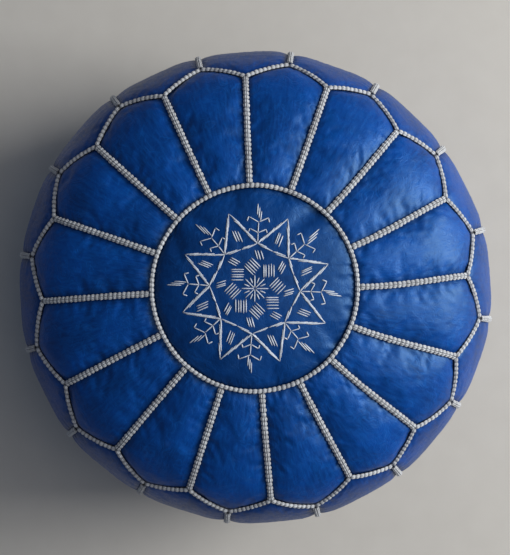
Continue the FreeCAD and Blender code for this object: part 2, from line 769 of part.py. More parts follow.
def frond(tip, knot, clear, bearing):
    """The stitches of one frond, which grows outward from a knot of the star: a stem,
    two pairs of hooked branches and three stitches side by side at its tip."""
    out, across = polar(1, bearing), polar(1, bearing + 90)
    step = (tip - knot) / 4
    forks = (knot + step, knot + 2.1 * step)
    stitches = [
        (out * (knot + clear), out * (forks[0] - clear / 2)),
        (out * (forks[0] + clear / 2), out * (forks[1] - clear / 2)),
    ]
    for shift in (-1, 0, 1):
        side = across * (shift * clear * 0.8)
        start = forks[1] + clear * (1 + abs(shift))
        stitches.append((out * start + side, out * (tip - abs(shift) * clear) + side))
    for fork, reach in zip(forks, (0.72 * step, step)):
        for hand in (-1, 1):
            root = out * fork + across * (hand * clear / 3)
            bend = out * (fork + 0.55 * reach) + across * (hand * reach)
            drop = bend + across * (hand * clear / 2)
            stitches += [(root, bend), (drop, drop - out * (0.6 * reach))]
    return stitches


def stitch_bar(sheet, start, end):
    """One stitch: a bar whose underside clears the crown of the leather."""
    crown_radius = value(sheet, "crown_radius")
    crown = Vector(0, 0, value(sheet, "overall_height") - crown_radius)
    width, height = (value(sheet, n) for n in ("thread_width", "thread_height"))
    length = (end - start).Length
    bulge = (length**2 + width**2) / (8 * crown_radius)
    middle = (start + end) / 2
    normal = Vector(middle.x, middle.y, math.sqrt(crown_radius**2 - middle.Length**2))
    normal.normalize()
    level = end - start
    along = (level - normal * level.dot(normal)).normalize()
    low = crown + normal * (crown_radius + bulge + value(sheet, "thread_clearance"))
    bar = Part.makeBox(length, width, height, Vector(-length / 2, -width / 2, 0))
    bar.Placement = Placement(low, Rotation(along, normal.cross(along), normal))
    return bar


def make_embroidery(doc, sheet):
    """The thread on the medallion, one separate bar a stitch."""
    turn = value(sheet, "embroidery_turn")
    bars = []
    for start, end in motif(sheet):
        bars += turned_copies(stitch_bar(sheet, start, end), MOTIF_REPEATS, turn)
    return add_shape(doc, "embroidery", bars)


# --- the zip ---------------------------------------------------------------------------


def tape_level():
    """Heights of the tape's two faces."""
    low = "( hem_height + tape_clearance )"
    return low, f"( {low} + tape_thickness )"


def tooth_level():
    """Heights of a tooth's two faces, with the tape at its middle."""
    middle = "( hem_height + tape_clearance + tape_thickness / 2 )"
    return f"( {middle} - tooth_thickness / 2 )", f"( {middle} + tooth_thickness / 2 )"


def outer_plate():
    high = f"( {tooth_level()[0]} - slider_clearance )"
    return f"( {high} - slider_plate )", high


def inner_plate():
    low = f"( {tooth_level()[1]} + slider_clearance )"
    return low, f"( {low} + slider_plate )"


ROW_LENGTH = "( teeth_per_row * tooth_pitch )"
TOOTH_EDGE = "( row_gap / 2 + tooth_width )"
SLIDER_MIDDLE = f"( {ROW_LENGTH} / 2 - slider_length / 2 - slider_clearance )"
SLOT_HALF_LENGTH = f"( {SLIDER_MIDDLE} + pull_length + slot_end_gap )"
SLIDER_HALF_WIDTH = f"( {TOOTH_EDGE} + slider_clearance + slider_flange )"
PIN_HEIGHT = f"( {outer_plate()[0]} - lug_height + pin_radius + eye_wall + pin_clearance )"


def make_zip_tapes(doc):
    """Two woven tapes, one along each row of teeth."""
    body = new_body(doc, "zip_tapes")
    end = f"( {SLOT_HALF_LENGTH} - tape_end_gap )"
    x = (f"0 - {end}", end)
    inner = f"{TOOTH_EDGE} + 0.05"
    near = slab(body, "tape", x, (inner, "tape_half_width"), tape_level())
    mirror_across_zip(body, [near])
    return body


def mirror_across_zip(body, originals):
    """The same features again, on the other side of the zip."""
    mirrored = body.newObject("PartDesign::Mirrored", "other_side")
    mirrored.Originals = originals
    mirrored.MirrorPlane = (origin_feature(body, "XZ_Plane"), [""])
    mirrored.Refine = False
    body.Tip = mirrored
    return mirrored


def make_zip_teeth(doc, sheet):
    """Two rows of teeth, half a pitch apart, with a stop at each end of each row."""
    body = new_body(doc, "zip_teeth")
    for side, (name, shift) in enumerate((("near", "0"), ("far", "tooth_pitch / 2"))):
        start = f"( {shift} - {ROW_LENGTH} / 2 )"
        y = ("row_gap / 2", TOOTH_EDGE)
        if side:
            y = (f"0 - {y[1]}", f"0 - {y[0]}")
        x = (start, f"{start} + tooth_length")
        tooth = slab(body, f"{name}_tooth", x, y, tooth_level())
        row = body.newObject("PartDesign::LinearPattern", f"{name}_row")
        row.Originals = [tooth]
        row.Direction = (tooth.Profile[0], ["H_Axis"])
        row.Mode = "Spacing"
        row.setExpression("Offset", bound("tooth_pitch"))
        row.Occurrences = int(value(sheet, "teeth_per_row"))
        row.Refine = False
        body.Tip = row
        for end, hand in (("closed", 1), ("open", -1)):
            inner = f"( {hand} * ( {ROW_LENGTH} / 2 + tooth_pitch / 2 ) )"
            outer = f"( {inner} + {hand} * stop_length )"
            x = (inner, outer) if hand > 0 else (outer, inner)
            slab(body, f"{name}_{end}_stop", x, y, tooth_level())
    return body


def make_zip_slider(doc):
    """The slider: two plates joined by a web between the rows of teeth, flanges that
    hold the rows, and two lugs with the pull's pin between them. At rest it stands at
    the +X end, with the zip closed."""
    body = new_body(doc, "zip_slider")
    half = "slider_length / 2"
    x = (f"{SLIDER_MIDDLE} - {half}", f"{SLIDER_MIDDLE} + {half}")
    wide = (f"0 - {SLIDER_HALF_WIDTH}", SLIDER_HALF_WIDTH)
    slab(body, "outer_plate", x, wide, outer_plate())
    web_x = (f"{x[1]} - divider_length", x[1])
    web_y = ("0 - divider_width / 2", "divider_width / 2")
    slab(body, "web", web_x, web_y, (outer_plate()[0], inner_plate()[1]))
    slab(body, "inner_plate", x, wide, inner_plate())
    flange = (f"{SLIDER_HALF_WIDTH} - slider_flange", SLIDER_HALF_WIDTH)
    tape_low, tape_high = tape_level()
    under = (outer_plate()[0], f"{tape_low} - slider_clearance")
    over = (f"{tape_high} + slider_clearance", inner_plate()[1])
    outer_flange = slab(body, "outer_flange", x, flange, under)
    inner_flange = slab(body, "inner_flange", x, flange, over)
    lug_x = (f"{SLIDER_MIDDLE} - lug_length / 2", f"{SLIDER_MIDDLE} + lug_length / 2")
    lug_inner = "( eye_width / 2 + lug_clearance )"
    lug_y = (lug_inner, f"( {lug_inner} + lug_thickness )")
    lug_z = (f"{outer_plate()[0]} - lug_height", outer_plate()[1])
    lug = slab(body, "lug", lug_x, lug_y, lug_z)
    mirror_across_zip(body, [outer_flange, inner_flange, lug])
    pin = new_sketch(body, "pin_section", "XZ_Plane")
    circle(pin, SLIDER_MIDDLE, PIN_HEIGHT, "pin_radius")
    extrude(body, "Pad", "pin", pin, f"2 * {lug_y[1]}", midplane=True)
    return body


def make_zip_pull(doc):
    """The pull: an eye on the pin and a flat blade that lies back along the zip."""
    body = new_body(doc, "zip_pull")
    thick = "pull_thickness / 2"
    z = (f"{PIN_HEIGHT} - {thick}", f"{PIN_HEIGHT} + {thick}")
    pin_x = SLIDER_MIDDLE
    neck_y = ("0 - eye_width / 2", "eye_width / 2")
    slab(body, "neck", (f"{pin_x} - pull_neck - 1", pin_x), neck_y, z)
    blade_x = (f"{pin_x} - pull_length", f"{pin_x} - pull_neck")
    slab(body, "blade", blade_x, ("0 - pull_width / 2", "pull_width / 2"), z)
    eye = new_sketch(body, "eye_section", "XZ_Plane")
    circle(eye, pin_x, PIN_HEIGHT, "pin_radius + pin_clearance + eye_wall")
    extrude(body, "Pad", "eye", eye, "eye_width", midplane=True)
    bore = new_sketch(body, "bore_section", "XZ_Plane")
    circle(bore, pin_x, PIN_HEIGHT, "pin_radius + pin_clearance")
    extrude(body, "Pocket", "bore", bore, "eye_width + 2", midplane=True)
    hole = new_sketch(body, "end_hole_section", height=z[0])
    hole_x = f"{pin_x} - pull_length + 2 * pull_hole_radius"
    circle(hole, hole_x, "0", "pull_hole_radius")
    extrude(body, "Pocket", "end_hole", hole, "pull_thickness").Reversed = True
    return body


# --- build, check, write --------------------------------------------------------------


def faults(doc, sub_parts):
    """Everything that a recompute left failed, and every sub-part with no good shape."""
    found = []
    for item in doc.Objects:
        if "Invalid" in item.State or "Error" in item.State:
            found.append(f"{item.Label}: {item.State}")
    for part in sub_parts:
        if part.Shape.isNull() or not part.Shape.Solids or not part.Shape.isValid():
            found.append(f"{part.Label}: no valid solid")
    return found


def main():
    doc = FreeCAD.newDocument("LeatherPouf")
    sheet = fill_sheet(doc)
    sub_parts = make_panels(doc, sheet)
    sub_parts.append(make_medallion(doc))
    sub_parts.append(make_base_half(doc, "base_half_front", 180.0))
    sub_parts.append(make_base_half(doc, "base_half_back", 0.0))
    sub_parts.append(make_filling(doc))
    sub_parts += make_braids(doc, sheet)
    sub_parts.append(make_embroidery(doc, sheet))
    sub_parts.append(make_zip_tapes(doc))
    sub_parts.append(make_zip_teeth(doc, sheet))
    sub_parts.append(make_zip_slider(doc))
    sub_parts.append(make_zip_pull(doc))
    doc.recompute()
    found = faults(doc, sub_parts)
    if found:
        sys.exit("\n".join(found))
    os.makedirs("parts", exist_ok=True)
    for part in sub_parts:
        part.Shape.exportStep(os.path.join("parts", f"{part.Label}.step"))
    volume = sum(part.Shape.Volume for part in sub_parts) / 1e6
    print(f"{len(sub_parts)} sub-parts, {volume:.2f} litres")


main()
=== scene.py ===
# %% [markdown]
# # A round leather pouf
#
# This pouf is a cover sewn from thin goat leather and stuffed hard with cotton waste.
# From above it is a flower: a round medallion, sixteen petals, and the pointed tops of
# sixteen side panels between them. A braid of pale thread hides every seam, and the
# medallion carries an embroidered star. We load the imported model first, because every
# piece that we make has to fit it.

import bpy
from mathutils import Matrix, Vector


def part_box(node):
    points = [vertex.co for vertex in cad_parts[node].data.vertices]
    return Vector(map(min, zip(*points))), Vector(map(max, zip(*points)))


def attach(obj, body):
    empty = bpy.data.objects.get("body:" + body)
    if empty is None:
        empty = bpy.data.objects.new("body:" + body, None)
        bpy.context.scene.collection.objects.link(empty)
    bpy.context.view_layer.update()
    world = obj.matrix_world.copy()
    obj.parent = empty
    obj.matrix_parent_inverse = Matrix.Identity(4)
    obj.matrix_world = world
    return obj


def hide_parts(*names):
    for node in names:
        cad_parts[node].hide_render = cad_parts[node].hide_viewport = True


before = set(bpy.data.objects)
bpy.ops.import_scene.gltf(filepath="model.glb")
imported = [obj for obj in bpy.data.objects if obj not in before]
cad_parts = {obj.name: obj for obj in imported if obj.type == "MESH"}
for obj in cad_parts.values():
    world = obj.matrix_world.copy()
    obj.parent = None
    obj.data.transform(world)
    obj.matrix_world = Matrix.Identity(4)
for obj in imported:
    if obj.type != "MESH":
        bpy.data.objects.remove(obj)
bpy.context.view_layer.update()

# %% Tools
import math

import bmesh
import bpy
import numpy as np
from mathutils import Vector
from mathutils.bvhtree import BVHTree

MM = 0.001
SCENE = bpy.context.scene

# %% [markdown]
# ## The section of the cover
#
# The cover is round, so one curve gives its whole form: a shallow arc across the top, a
# tight shoulder, a long side, another shoulder and the flat base. We sample those arcs
# once, with their outward normals, and measure along them. Everything later is placed by
# two numbers, the turn round the axis and the length along this curve, because leather
# is cut and sewn by lengths along its surface and not by heights.

# %% Sizes of the cover
PANELS = 16
HALF_PITCH = math.pi / PANELS
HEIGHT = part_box("medallion")[1].z
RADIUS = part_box("side_panel_01")[1].x
SEAM_GAP = 1.2 * MM
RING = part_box("medallion")[1].x + SEAM_GAP / 2
BASE_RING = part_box("base_half_back")[1].x + SEAM_GAP / 2
JUNCTION, TIP = 221 * MM, 240 * MM
WAIST = 158 * MM
CROWN_ARC, SHOULDER_ARC, SIDE_ARC = 600 * MM, 100 * MM, 240 * MM
FOOT_SIDE_ARC, FOOT_ARC = 220 * MM, 95 * MM
ARC_STEPS, BASE_STEPS = 400, 200
print(f"ring {RING:.4f} m, base ring {BASE_RING:.4f} m, {RADIUS:.3f} m to the widest")


# %% The arcs, one after another
def inner_tangent(first, first_radius, second, second_radius, radius):
    """Centre of the small circle that touches two large ones from inside."""
    reach = first_radius - radius, second_radius - radius
    gap = second - first
    apart = math.hypot(*gap)
    along = (reach[0] ** 2 - reach[1] ** 2 + apart**2) / (2 * apart)
    across = math.sqrt(reach[0] ** 2 - along**2)
    unit = gap / apart
    return first + unit * along + np.array([unit[1], -unit[0]]) * across


def section_arcs():
    """(centre, radius, from, to) of each arc, with turns that fall from up to down."""
    crown = np.array([0.0, HEIGHT - CROWN_ARC])
    side = np.array([RADIUS - SIDE_ARC, WAIST])
    shoulder = inner_tangent(crown, CROWN_ARC, side, SIDE_ARC, SHOULDER_ARC)
    foot_side = np.array([RADIUS - FOOT_SIDE_ARC, WAIST])
    reach = math.sqrt((FOOT_SIDE_ARC - FOOT_ARC) ** 2 - (WAIST - FOOT_ARC) ** 2)
    foot = np.array([foot_side[0] + reach, FOOT_ARC])
    turns = [math.pi / 2]
    turns.append(math.atan2(*(shoulder - crown)[::-1]))
    turns.append(math.atan2(*(shoulder - side)[::-1]))
    turns.append(0.0)
    turns.append(math.atan2(*(foot - foot_side)[::-1]))
    turns.append(-math.pi / 2)
    centres = [crown, shoulder, side, foot_side, foot]
    radii = [CROWN_ARC, SHOULDER_ARC, SIDE_ARC, FOOT_SIDE_ARC, FOOT_ARC]
    return list(zip(centres, radii, turns, turns[1:]))


def section_table():
    """Radius, height, the normal's two parts and the length so far, all down the curve."""
    points, normals = [], []
    for centre, radius, start, end in section_arcs():
        turns = np.linspace(start, end, ARC_STEPS)
        ways = np.stack([np.cos(turns), np.sin(turns)], 1)
        points.append(centre + radius * ways)
        normals.append(ways)
    base = np.linspace(points[-1][-1, 0], 0.0, BASE_STEPS)
    points.append(np.stack([base, np.zeros(BASE_STEPS)], 1))
    normals.append(np.tile([0.0, -1.0], (BASE_STEPS, 1)))
    points, normals = np.concatenate(points), np.concatenate(normals)
    steps = np.hypot(*np.diff(points, axis=0).T)
    return points[:, 0], points[:, 1], normals, np.concatenate([[0.0], np.cumsum(steps)])


SECTION_R, SECTION_Z, SECTION_N, SECTION_S = section_table()
WIDEST = int(np.argmax(SECTION_R))
print(f"{SECTION_S[-1]:.3f} m of leather from the middle of the top to that of the base")


def along_section(radius, upper):
    """Length along the section, from the middle of the top, to a radius."""
    if upper:
        return np.interp(radius, SECTION_R[: WIDEST + 1], SECTION_S[: WIDEST + 1])
    return np.interp(radius, SECTION_R[WIDEST:][::-1], SECTION_S[WIDEST:][::-1])


# %% [markdown]
# ## Made by hand
#
# No two petals of a hand-sewn pouf are quite the same. The seams drift round by a degree
# or so, they lean as they leave the medallion, the points of the petals rise and fall by
# a millimetre or two, and the stuffing leaves low lumps. We could move each piece at
# random, but then the seams would part. Instead smooth waves bend the whole cover, so
# neighbours move together. Most phases come from a seeded generator, so the pouf is the
# same each time.


# %% Waves that bend the cover
PULLED_ROUND, PULLED_WHERE = 0.016, 2.44
RIM_PULL, RIM_WHERE = 0.009, 0.7
DRIFT = 0.005
LEAN = (0.014, 0.0105, 0.013)
TOP_EDGE, FOOT_EDGE = 1.6 * MM, 1.8 * MM
LOW_LUMPS, FINE_LUMPS = 1.3 * MM, 0.8 * MM
FLATNESS = 0.7


def wave(turn, counts, size, seed):
    """A smooth closed wave round the cover: some whole numbers of ripples, mixed."""
    rng = np.random.default_rng(seed)
    total = np.zeros(np.shape(turn))
    for count in counts:
        phase = rng.uniform(0, 2 * math.pi)
        total = total + rng.uniform(0.5, 1.0) * np.cos(count * turn + phase)
    return total * size / math.sqrt(len(counts))


def smooth_step(low, high, value):
    """From 0 to 1 as the value goes from low to high, with soft ends."""
    share = np.clip((value - low) / (high - low), 0.0, 1.0)
    return share * share * (3 - 2 * share)


def bend(turn, s):
    """Where the sewing has carried a place on the ideal cover. Sideways it is a slow pull
    round the cover, small waves, and a lean of the seams beside the medallion."""
    ring_s, foot_s = along_section(RING, True), along_section(BASE_RING, False)
    past_ring = smooth_step(ring_s, ring_s + 60 * MM, s)
    before_base = 1 - smooth_step(foot_s - 50 * MM, foot_s, s)
    drift = PULLED_ROUND * np.cos(turn + PULLED_WHERE) + wave(turn, (3, 4, 5, 7), DRIFT, 11)
    lean = LEAN[0] + LEAN[1] * np.cos(turn) + LEAN[2] * np.cos(2 * turn)
    by_ring = 1 - smooth_step(ring_s, along_section(JUNCTION, True), s)
    drift = drift - lean * by_ring + RIM_PULL * np.cos(turn + RIM_WHERE) * (1 - by_ring)
    lower = smooth_step(0.22, 0.40, s)
    edge = (1 - lower) * wave(turn, range(4, 12), TOP_EDGE, 12)
    edge = edge + lower * wave(turn, range(3, 12), FOOT_EDGE, 13)
    return turn + drift, s + edge * past_ring * before_base


def lumps(turn, s):
    """Low lumps of the stuffing, none of them under the base."""
    r, z = section_place(s)
    size = smooth_step(0.0, 60 * MM, z) * smooth_step(0.0, 0.12, r)
    low = wave(turn, (2, 3, 5), LOW_LUMPS, 21) * np.cos(s * 9.0)
    fine = wave(turn, (6, 8, 11, 13), FINE_LUMPS, 22) * np.sin(s * 31.0 + 3 * turn)
    return (low + fine) * size


def flats(turn, s):
    """How far the middle of a side panel lies in from the circle through its seams: the
    leather is pulled nearly straight from seam to seam."""
    top, foot = along_section(JUNCTION, True), along_section(JUNCTION, False)
    belt = smooth_step(top, top + 45 * MM, s) * (1 - smooth_step(foot - 45 * MM, foot, s))
    across = (turn / HALF_PITCH + 1) % 2 - 1
    sagitta = RADIUS * (1 - math.cos(HALF_PITCH))
    return -FLATNESS * sagitta * (1 - across**2) * belt


def section_place(s):
    """Radius and height at a length along the section."""
    return np.interp(s, SECTION_S, SECTION_R), np.interp(s, SECTION_S, SECTION_Z)


def on_cover(turn, s, lift=0.0):
    """Points over the cover, and their outward normals. lift is how far they stand off."""
    turn, s = np.broadcast_arrays(np.asarray(turn, float), np.asarray(s, float))
    lift = lift + lumps(turn, s) + flats(turn, s)
    turn, s = bend(turn, s)
    r, z = section_place(s)
    out = np.interp(s, SECTION_S, SECTION_N[:, 0])
    up = np.interp(s, SECTION_S, SECTION_N[:, 1])
    normal = np.stack([out * np.cos(turn), out * np.sin(turn), up], -1)
    place = np.stack([r * np.cos(turn), r * np.sin(turn), z], -1)
    return place + normal * np.asarray(lift)[..., None], normal


# %% [markdown]
# ## Patterns for the panels
#
# A leather worker cuts each panel flat, from a card pattern. Ours is a grid: across it
# runs the turn from one side seam to the other, and down it runs the length along the
# section, between the seams at its two ends. The ends of petals and side panels meet in
# a zigzag, which is bowed out a little where it runs along a petal. Each panel's edges
# dip, because the stitches pull them down, and its middle starts a little proud.

# %% Sizes of the leather
LEATHER = 1.5 * MM
EDGE_DIP = 1.9 * MM
PUFF = 2.0 * MM
EDGE_ROLL = 6.0 * MM
BLUNTNESS = 0.14 * HALF_PITCH
ZIGZAG_BOW = 2.0 * MM
MEDALLION_PUFF = 1.2 * MM
COARSE = 4.4 * MM
FINER = 2


def zigzag_radius(turn_from_tip):
    """Radius, seen from above, of the seam round a petal's blunt, rounded point."""
    way = np.hypot(turn_from_tip, BLUNTNESS) * HALF_PITCH / math.hypot(HALF_PITCH, BLUNTNESS)
    junction = np.array([math.cos(HALF_PITCH), math.sin(HALF_PITCH)]) * JUNCTION
    run = np.array([TIP, 0.0]) - junction
    x, y = np.cos(way), np.sin(way)
    share = -(x * junction[1] - y * junction[0]) / (x * run[1] - y * run[0])
    radius = np.hypot(junction[0] + share * run[0], junction[1] + share * run[1])
    return radius + ZIGZAG_BOW * np.sin(math.pi * np.clip(share, 0, 1))


def panel_ends(kind, turn_from_middle):
    """The section lengths at which a panel starts and stops, for each turn across it."""
    way = np.abs(turn_from_middle)
    petal_end = zigzag_radius(way)
    gusset_end = zigzag_radius(HALF_PITCH - way)
    gap = SEAM_GAP / 2
    if kind == "top_petal":
        start = along_section(RING, True) + gap
        return start + 0 * way, along_section(petal_end, True) - gap
    if kind == "side_panel":
        start = along_section(gusset_end, True) + gap
        return start, along_section(gusset_end, False) - gap
    end = along_section(BASE_RING, False) - gap
    return along_section(petal_end, False) + gap, end + 0 * way


def panel_grid(kind, number):
    """The pattern of one panel: turns and section lengths, its lift, and the distance
    from each place to the nearest seam."""
    middle = (number + (0.0 if kind == "side_panel" else 0.5)) * 2 * HALF_PITCH
    start, end = panel_ends(kind, np.linspace(-1, 1, 9) * HALF_PITCH * 0.98)
    rows = 2 * round((end - start).mean() / COARSE / 2) + 1
    wide = section_place((start + end).mean() / 2)[0] * 2 * HALF_PITCH
    cols = 2 * round(wide / COARSE / 2) + 1
    across, down = np.linspace(-1, 1, cols)[None, :], np.linspace(0, 1, rows)[:, None]
    start, end = panel_ends(kind, across * HALF_PITCH)
    s = start + (end - start) * down
    r = section_place(s)[0]
    from_middle = across * (HALF_PITCH - SEAM_GAP / 2 / r)
    edges = [r * (HALF_PITCH - np.abs(from_middle)) - SEAM_GAP / 2, s - start, end - s]
    rolls = [1 - np.exp(-np.maximum(edge, 0) / EDGE_ROLL) for edge in edges]
    rise = rolls[0] * rolls[1] * rolls[2]
    near = np.minimum.reduce([np.maximum(edge, 0) + 0 * s for edge in edges])
    return middle + from_middle, s, (EDGE_DIP + PUFF) * rise - EDGE_DIP, near


def medallion_grid():
    """The medallion's pattern: a square net drawn out to a disc, so that no place is
    pinched as the middle of a fan of triangles would be."""
    count = 2 * round(2 * RING / COARSE / 2) + 1
    v, u = np.meshgrid(np.linspace(-1, 1, count), np.linspace(-1, 1, count))
    x, y = u * np.sqrt(1 - v**2 / 2), v * np.sqrt(1 - u**2 / 2)
    s = np.hypot(x, y) * (along_section(RING, True) - SEAM_GAP / 2)
    near = along_section(RING, True) - SEAM_GAP / 2 - s
    rise = 1 - np.exp(-near / (1.4 * EDGE_ROLL))
    return np.arctan2(y, x), s, (EDGE_DIP + MEDALLION_PUFF) * rise - EDGE_DIP, near


KINDS = ("top_petal", "side_panel", "foot_petal")
PATTERNS = {f"{k}_{n + 1:02d}": panel_grid(k, n) for k in KINDS for n in range(PANELS)}
PATTERNS["medallion"] = medallion_grid()
places = sum(grid[0].size for grid in PATTERNS.values())
print(len(PATTERNS), "patterns with", places, "places on them")

# %% [markdown]
# ## Stuffing the cover
#
# What makes leather look full is not its outline but its tension: it domes between the
# seams and creases where there is too much of it. Blender's cloth solver finds that by
# itself. We lay all the panels out in place, pin their edges as the stitches do, blow
# them up with a little pressure, and give the leather one per cent to spare so that it
# has something to crease with. The panels are thin sheets at this stage, because the
# solver wants a sheet, and they get their thickness afterwards.

# %% Settings of the press
STUFFING_STEPS = 22
SPARE_LEATHER = 0.012
MOST_SWELL = 4.5 * MM
SIDE_SHARE = 0.6
STRETCH, SHEAR, STIFFNESS = 30, 8, 2.5
PRESSURE = 5.0
CUTTING_ERROR = 0.12 * MM


def border(rows, cols):
    """Places on the rim of a grid, in one round, and their numbers."""
    top = [(0, c) for c in range(cols)]
    right = [(r, cols - 1) for r in range(1, rows)]
    bottom = [(rows - 1, c) for c in range(cols - 2, -1, -1)]
    left = [(r, 0) for r in range(rows - 2, 0, -1)]
    return np.array([r * cols + c for r, c in top + right + bottom + left])


def grid_faces(rows, cols, first=0):
    """The four-sided faces between the places of a grid."""
    corner = (np.arange(rows - 1)[:, None] * cols + np.arange(cols - 1)[None, :]).ravel()
    return np.stack([corner, corner + cols, corner + cols + 1, corner + 1], 1) + first


def sheets_in_place():
    """Every pattern laid on the cover as a grid of points."""
    rng = np.random.default_rng(31)
    laid = {}
    for name, (turn, s, lift, near) in PATTERNS.items():
        rough = rng.normal(0, CUTTING_ERROR, turn.shape) * (near > 0)
        laid[name] = on_cover(turn, s, lift + rough)[0]
    return laid


def stuff(laid):
    """Runs the cloth solver on all the sheets at once, and returns them swollen."""
    points, faces, pinned, first = [], [], [], 0
    for sheet in laid.values():
        rows, cols = sheet.shape[:2]
        points.append(sheet.reshape(-1, 3))
        faces.append(grid_faces(rows, cols, first))
        pinned.append(border(rows, cols) + first)
        first += rows * cols
    points = np.concatenate(points)
    mesh = bpy.data.meshes.new("sheets")
    mesh.from_pydata(points.tolist(), [], np.concatenate(faces).tolist())
    sheets = bpy.data.objects.new("sheets", mesh)
    SCENE.collection.objects.link(sheets)
    stitched = sheets.vertex_groups.new(name="stitched")
    stitched.add(np.concatenate(pinned).tolist(), 1.0, "REPLACE")
    press = sheets.modifiers.new("press", "CLOTH").settings
    press.quality = 6
    press.mass = 0.25
    press.tension_stiffness = press.compression_stiffness = STRETCH
    press.shear_stiffness = SHEAR
    press.bending_stiffness = STIFFNESS
    press.vertex_group_mass = stitched.name
    press.use_pressure = True
    press.uniform_pressure_force = PRESSURE
    press.shrink_min = press.shrink_max = -SPARE_LEATHER
    press.effector_weights.gravity = 0
    for step in range(1, STUFFING_STEPS + 1):
        SCENE.frame_set(step)
    shown = sheets.evaluated_get(bpy.context.evaluated_depsgraph_get())
    swollen = np.empty(points.size)
    shown.data.vertices.foreach_get("co", swollen)
    swollen = swollen.reshape(-1, 3)
    bpy.data.objects.remove(sheets)
    SCENE.frame_set(1)
    moved = swollen - points
    far = np.linalg.norm(moved, axis=1, keepdims=True)
    moved *= np.tanh(far / MOST_SWELL) * MOST_SWELL / np.maximum(far, 1e-9)
    print(f"it swelled by up to {1000 * far.max():.1f} mm, {1000 * far.mean():.2f} on average")
    firmer = 1 - (1 - SIDE_SHARE) * smooth_step(0.0, 0.05, HEIGHT - 0.03 - points[:, 2:])
    return split_again(laid, points + moved * firmer)


def split_again(laid, points):
    """Cuts one long list of points back into the sheets that it was made from."""
    parted, first = {}, 0
    for name, sheet in laid.items():
        rows, cols = sheet.shape[:2]
        parted[name] = points[first : first + rows * cols].reshape(rows, cols, 3)
        first += rows * cols
    return parted


sheets = sheets_in_place()
sheets = stuff(sheets)
print("sheets are", "stuffed")

# %% [markdown]
# ## From sheet to leather
#
# The solver worked on a coarse net. A smooth curve through its points (Catmull-Rom)
# gives a net twice as fine, on which we draw what the solver was too coarse for: the
# short puckers that run away from each seam, because the thread gathers the edge. Then
# the sheet gets its thickness: an outer face, an inner face, and a rim that closes them.


# %% A finer net
def catmull_rom(grid, factor):
    """A grid with factor steps for each of its steps down, on smooth curves."""
    ends = np.concatenate([2 * grid[:1] - grid[1:2], grid, 2 * grid[-1:] - grid[-2:-1]])
    a, b, c, d = ends[:-3], ends[1:-2], ends[2:-1], ends[3:]
    t = (np.arange(factor) / factor).reshape((1, factor) + (1,) * (grid.ndim - 1))
    a, b, c, d = (x[:, None] for x in (a, b, c, d))
    curve = b + 0.5 * t * (c - a + t * (2 * a - 5 * b + 4 * c - d + t * (3 * (b - c) + d - a)))
    return np.concatenate([curve.reshape((-1,) + grid.shape[1:]), grid[-1:]])


def refine(grid, factor=FINER):
    """The same, both ways across the grid."""
    once = catmull_rom(grid, factor)
    return np.swapaxes(catmull_rom(np.swapaxes(once, 0, 1), factor), 0, 1)


def grid_normals(points):
    """Outward unit normals of a grid of points."""
    down = np.gradient(points, axis=0)
    across = np.gradient(points, axis=1)
    normal = np.cross(down, across)
    return normal / np.maximum(np.linalg.norm(normal, axis=-1, keepdims=True), 1e-12)


# %% Puckers along the seams
PUCKER = 0.55 * MM
PUCKER_REACH = 9 * MM


def noise_line(length, seed, coarse, fine):
    """Height of random short waves along a line: a sum of sines with random pitches."""
    rng = np.random.default_rng(seed)
    total = np.zeros(np.shape(length))
    for _ in range(7):
        pitch = rng.uniform(fine, coarse)
        total += np.sin(length * 2 * math.pi / pitch + rng.uniform(0, 2 * math.pi))
    return total / 2.6


def puckers(turn, s, near, seed):
    """Small folds that leave each seam at a right angle and fade into the panel."""
    r = section_place(s)[0]
    down, across = np.abs(np.gradient(near, axis=0)), np.abs(np.gradient(near, axis=1))
    end_edge = smooth_step(0.3, 0.7, down / np.maximum(down + across, 1e-9))
    beside = noise_line(s, seed, 22 * MM, 8 * MM)
    ahead = noise_line(turn * r, seed + 1, 20 * MM, 7 * MM)
    folds = beside * (1 - end_edge) + ahead * end_edge
    reach = PUCKER_REACH * (1 + 0.5 * noise_line(s + turn, seed + 2, 0.15, 0.05))
    fade = np.exp(-near / np.maximum(reach, 3 * MM)) * smooth_step(0, 3 * MM, near)
    return PUCKER * folds * fade


# %% Give a sheet its thickness
ABOVE_FLOOR = 0.1 * MM
GRAIN_SCALE = 10


def leather_mesh(name, outer, near, grain):
    """A closed piece of leather from the grid of its outer face. near is kept as the
    attribute seam_distance, and grain, two lengths along the hide, as the UV map."""
    rows, cols = outer.shape[:2]
    inner = outer - grid_normals(outer) * LEATHER
    inner[..., 2] = np.maximum(inner[..., 2], ABOVE_FLOOR)
    count = rows * cols
    rim = border(rows, cols)
    after = np.roll(rim, -1)
    walls = np.stack([rim, after, after + count, rim + count], 1)
    faces = np.concatenate([
        grid_faces(rows, cols),
        grid_faces(rows, cols, count)[:, ::-1],
        walls[:, ::-1],
    ])
    mesh = bpy.data.meshes.new(name)
    points = np.concatenate([outer.reshape(-1, 3), inner.reshape(-1, 3)])
    mesh.from_pydata(points.tolist(), [], faces.tolist())
    mesh.polygons.foreach_set("use_smooth", np.ones(len(faces), bool))
    distance = mesh.attributes.new("seam_distance", "FLOAT", "POINT")
    distance.data.foreach_set("value", np.tile(near.ravel(), 2) / MM)
    layer = mesh.uv_layers.new(name="grain")
    corners = np.empty(len(mesh.loops), int)
    mesh.loops.foreach_get("vertex_index", corners)
    layer.data.foreach_set("uv", grain.reshape(-1, 2)[corners % count].ravel())
    return mesh


def add_piece(name, mesh):
    """A mesh as an object that rides on the cover."""
    piece = bpy.data.objects.new(name, mesh)
    SCENE.collection.objects.link(piece)
    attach(piece, "cover")
    return piece


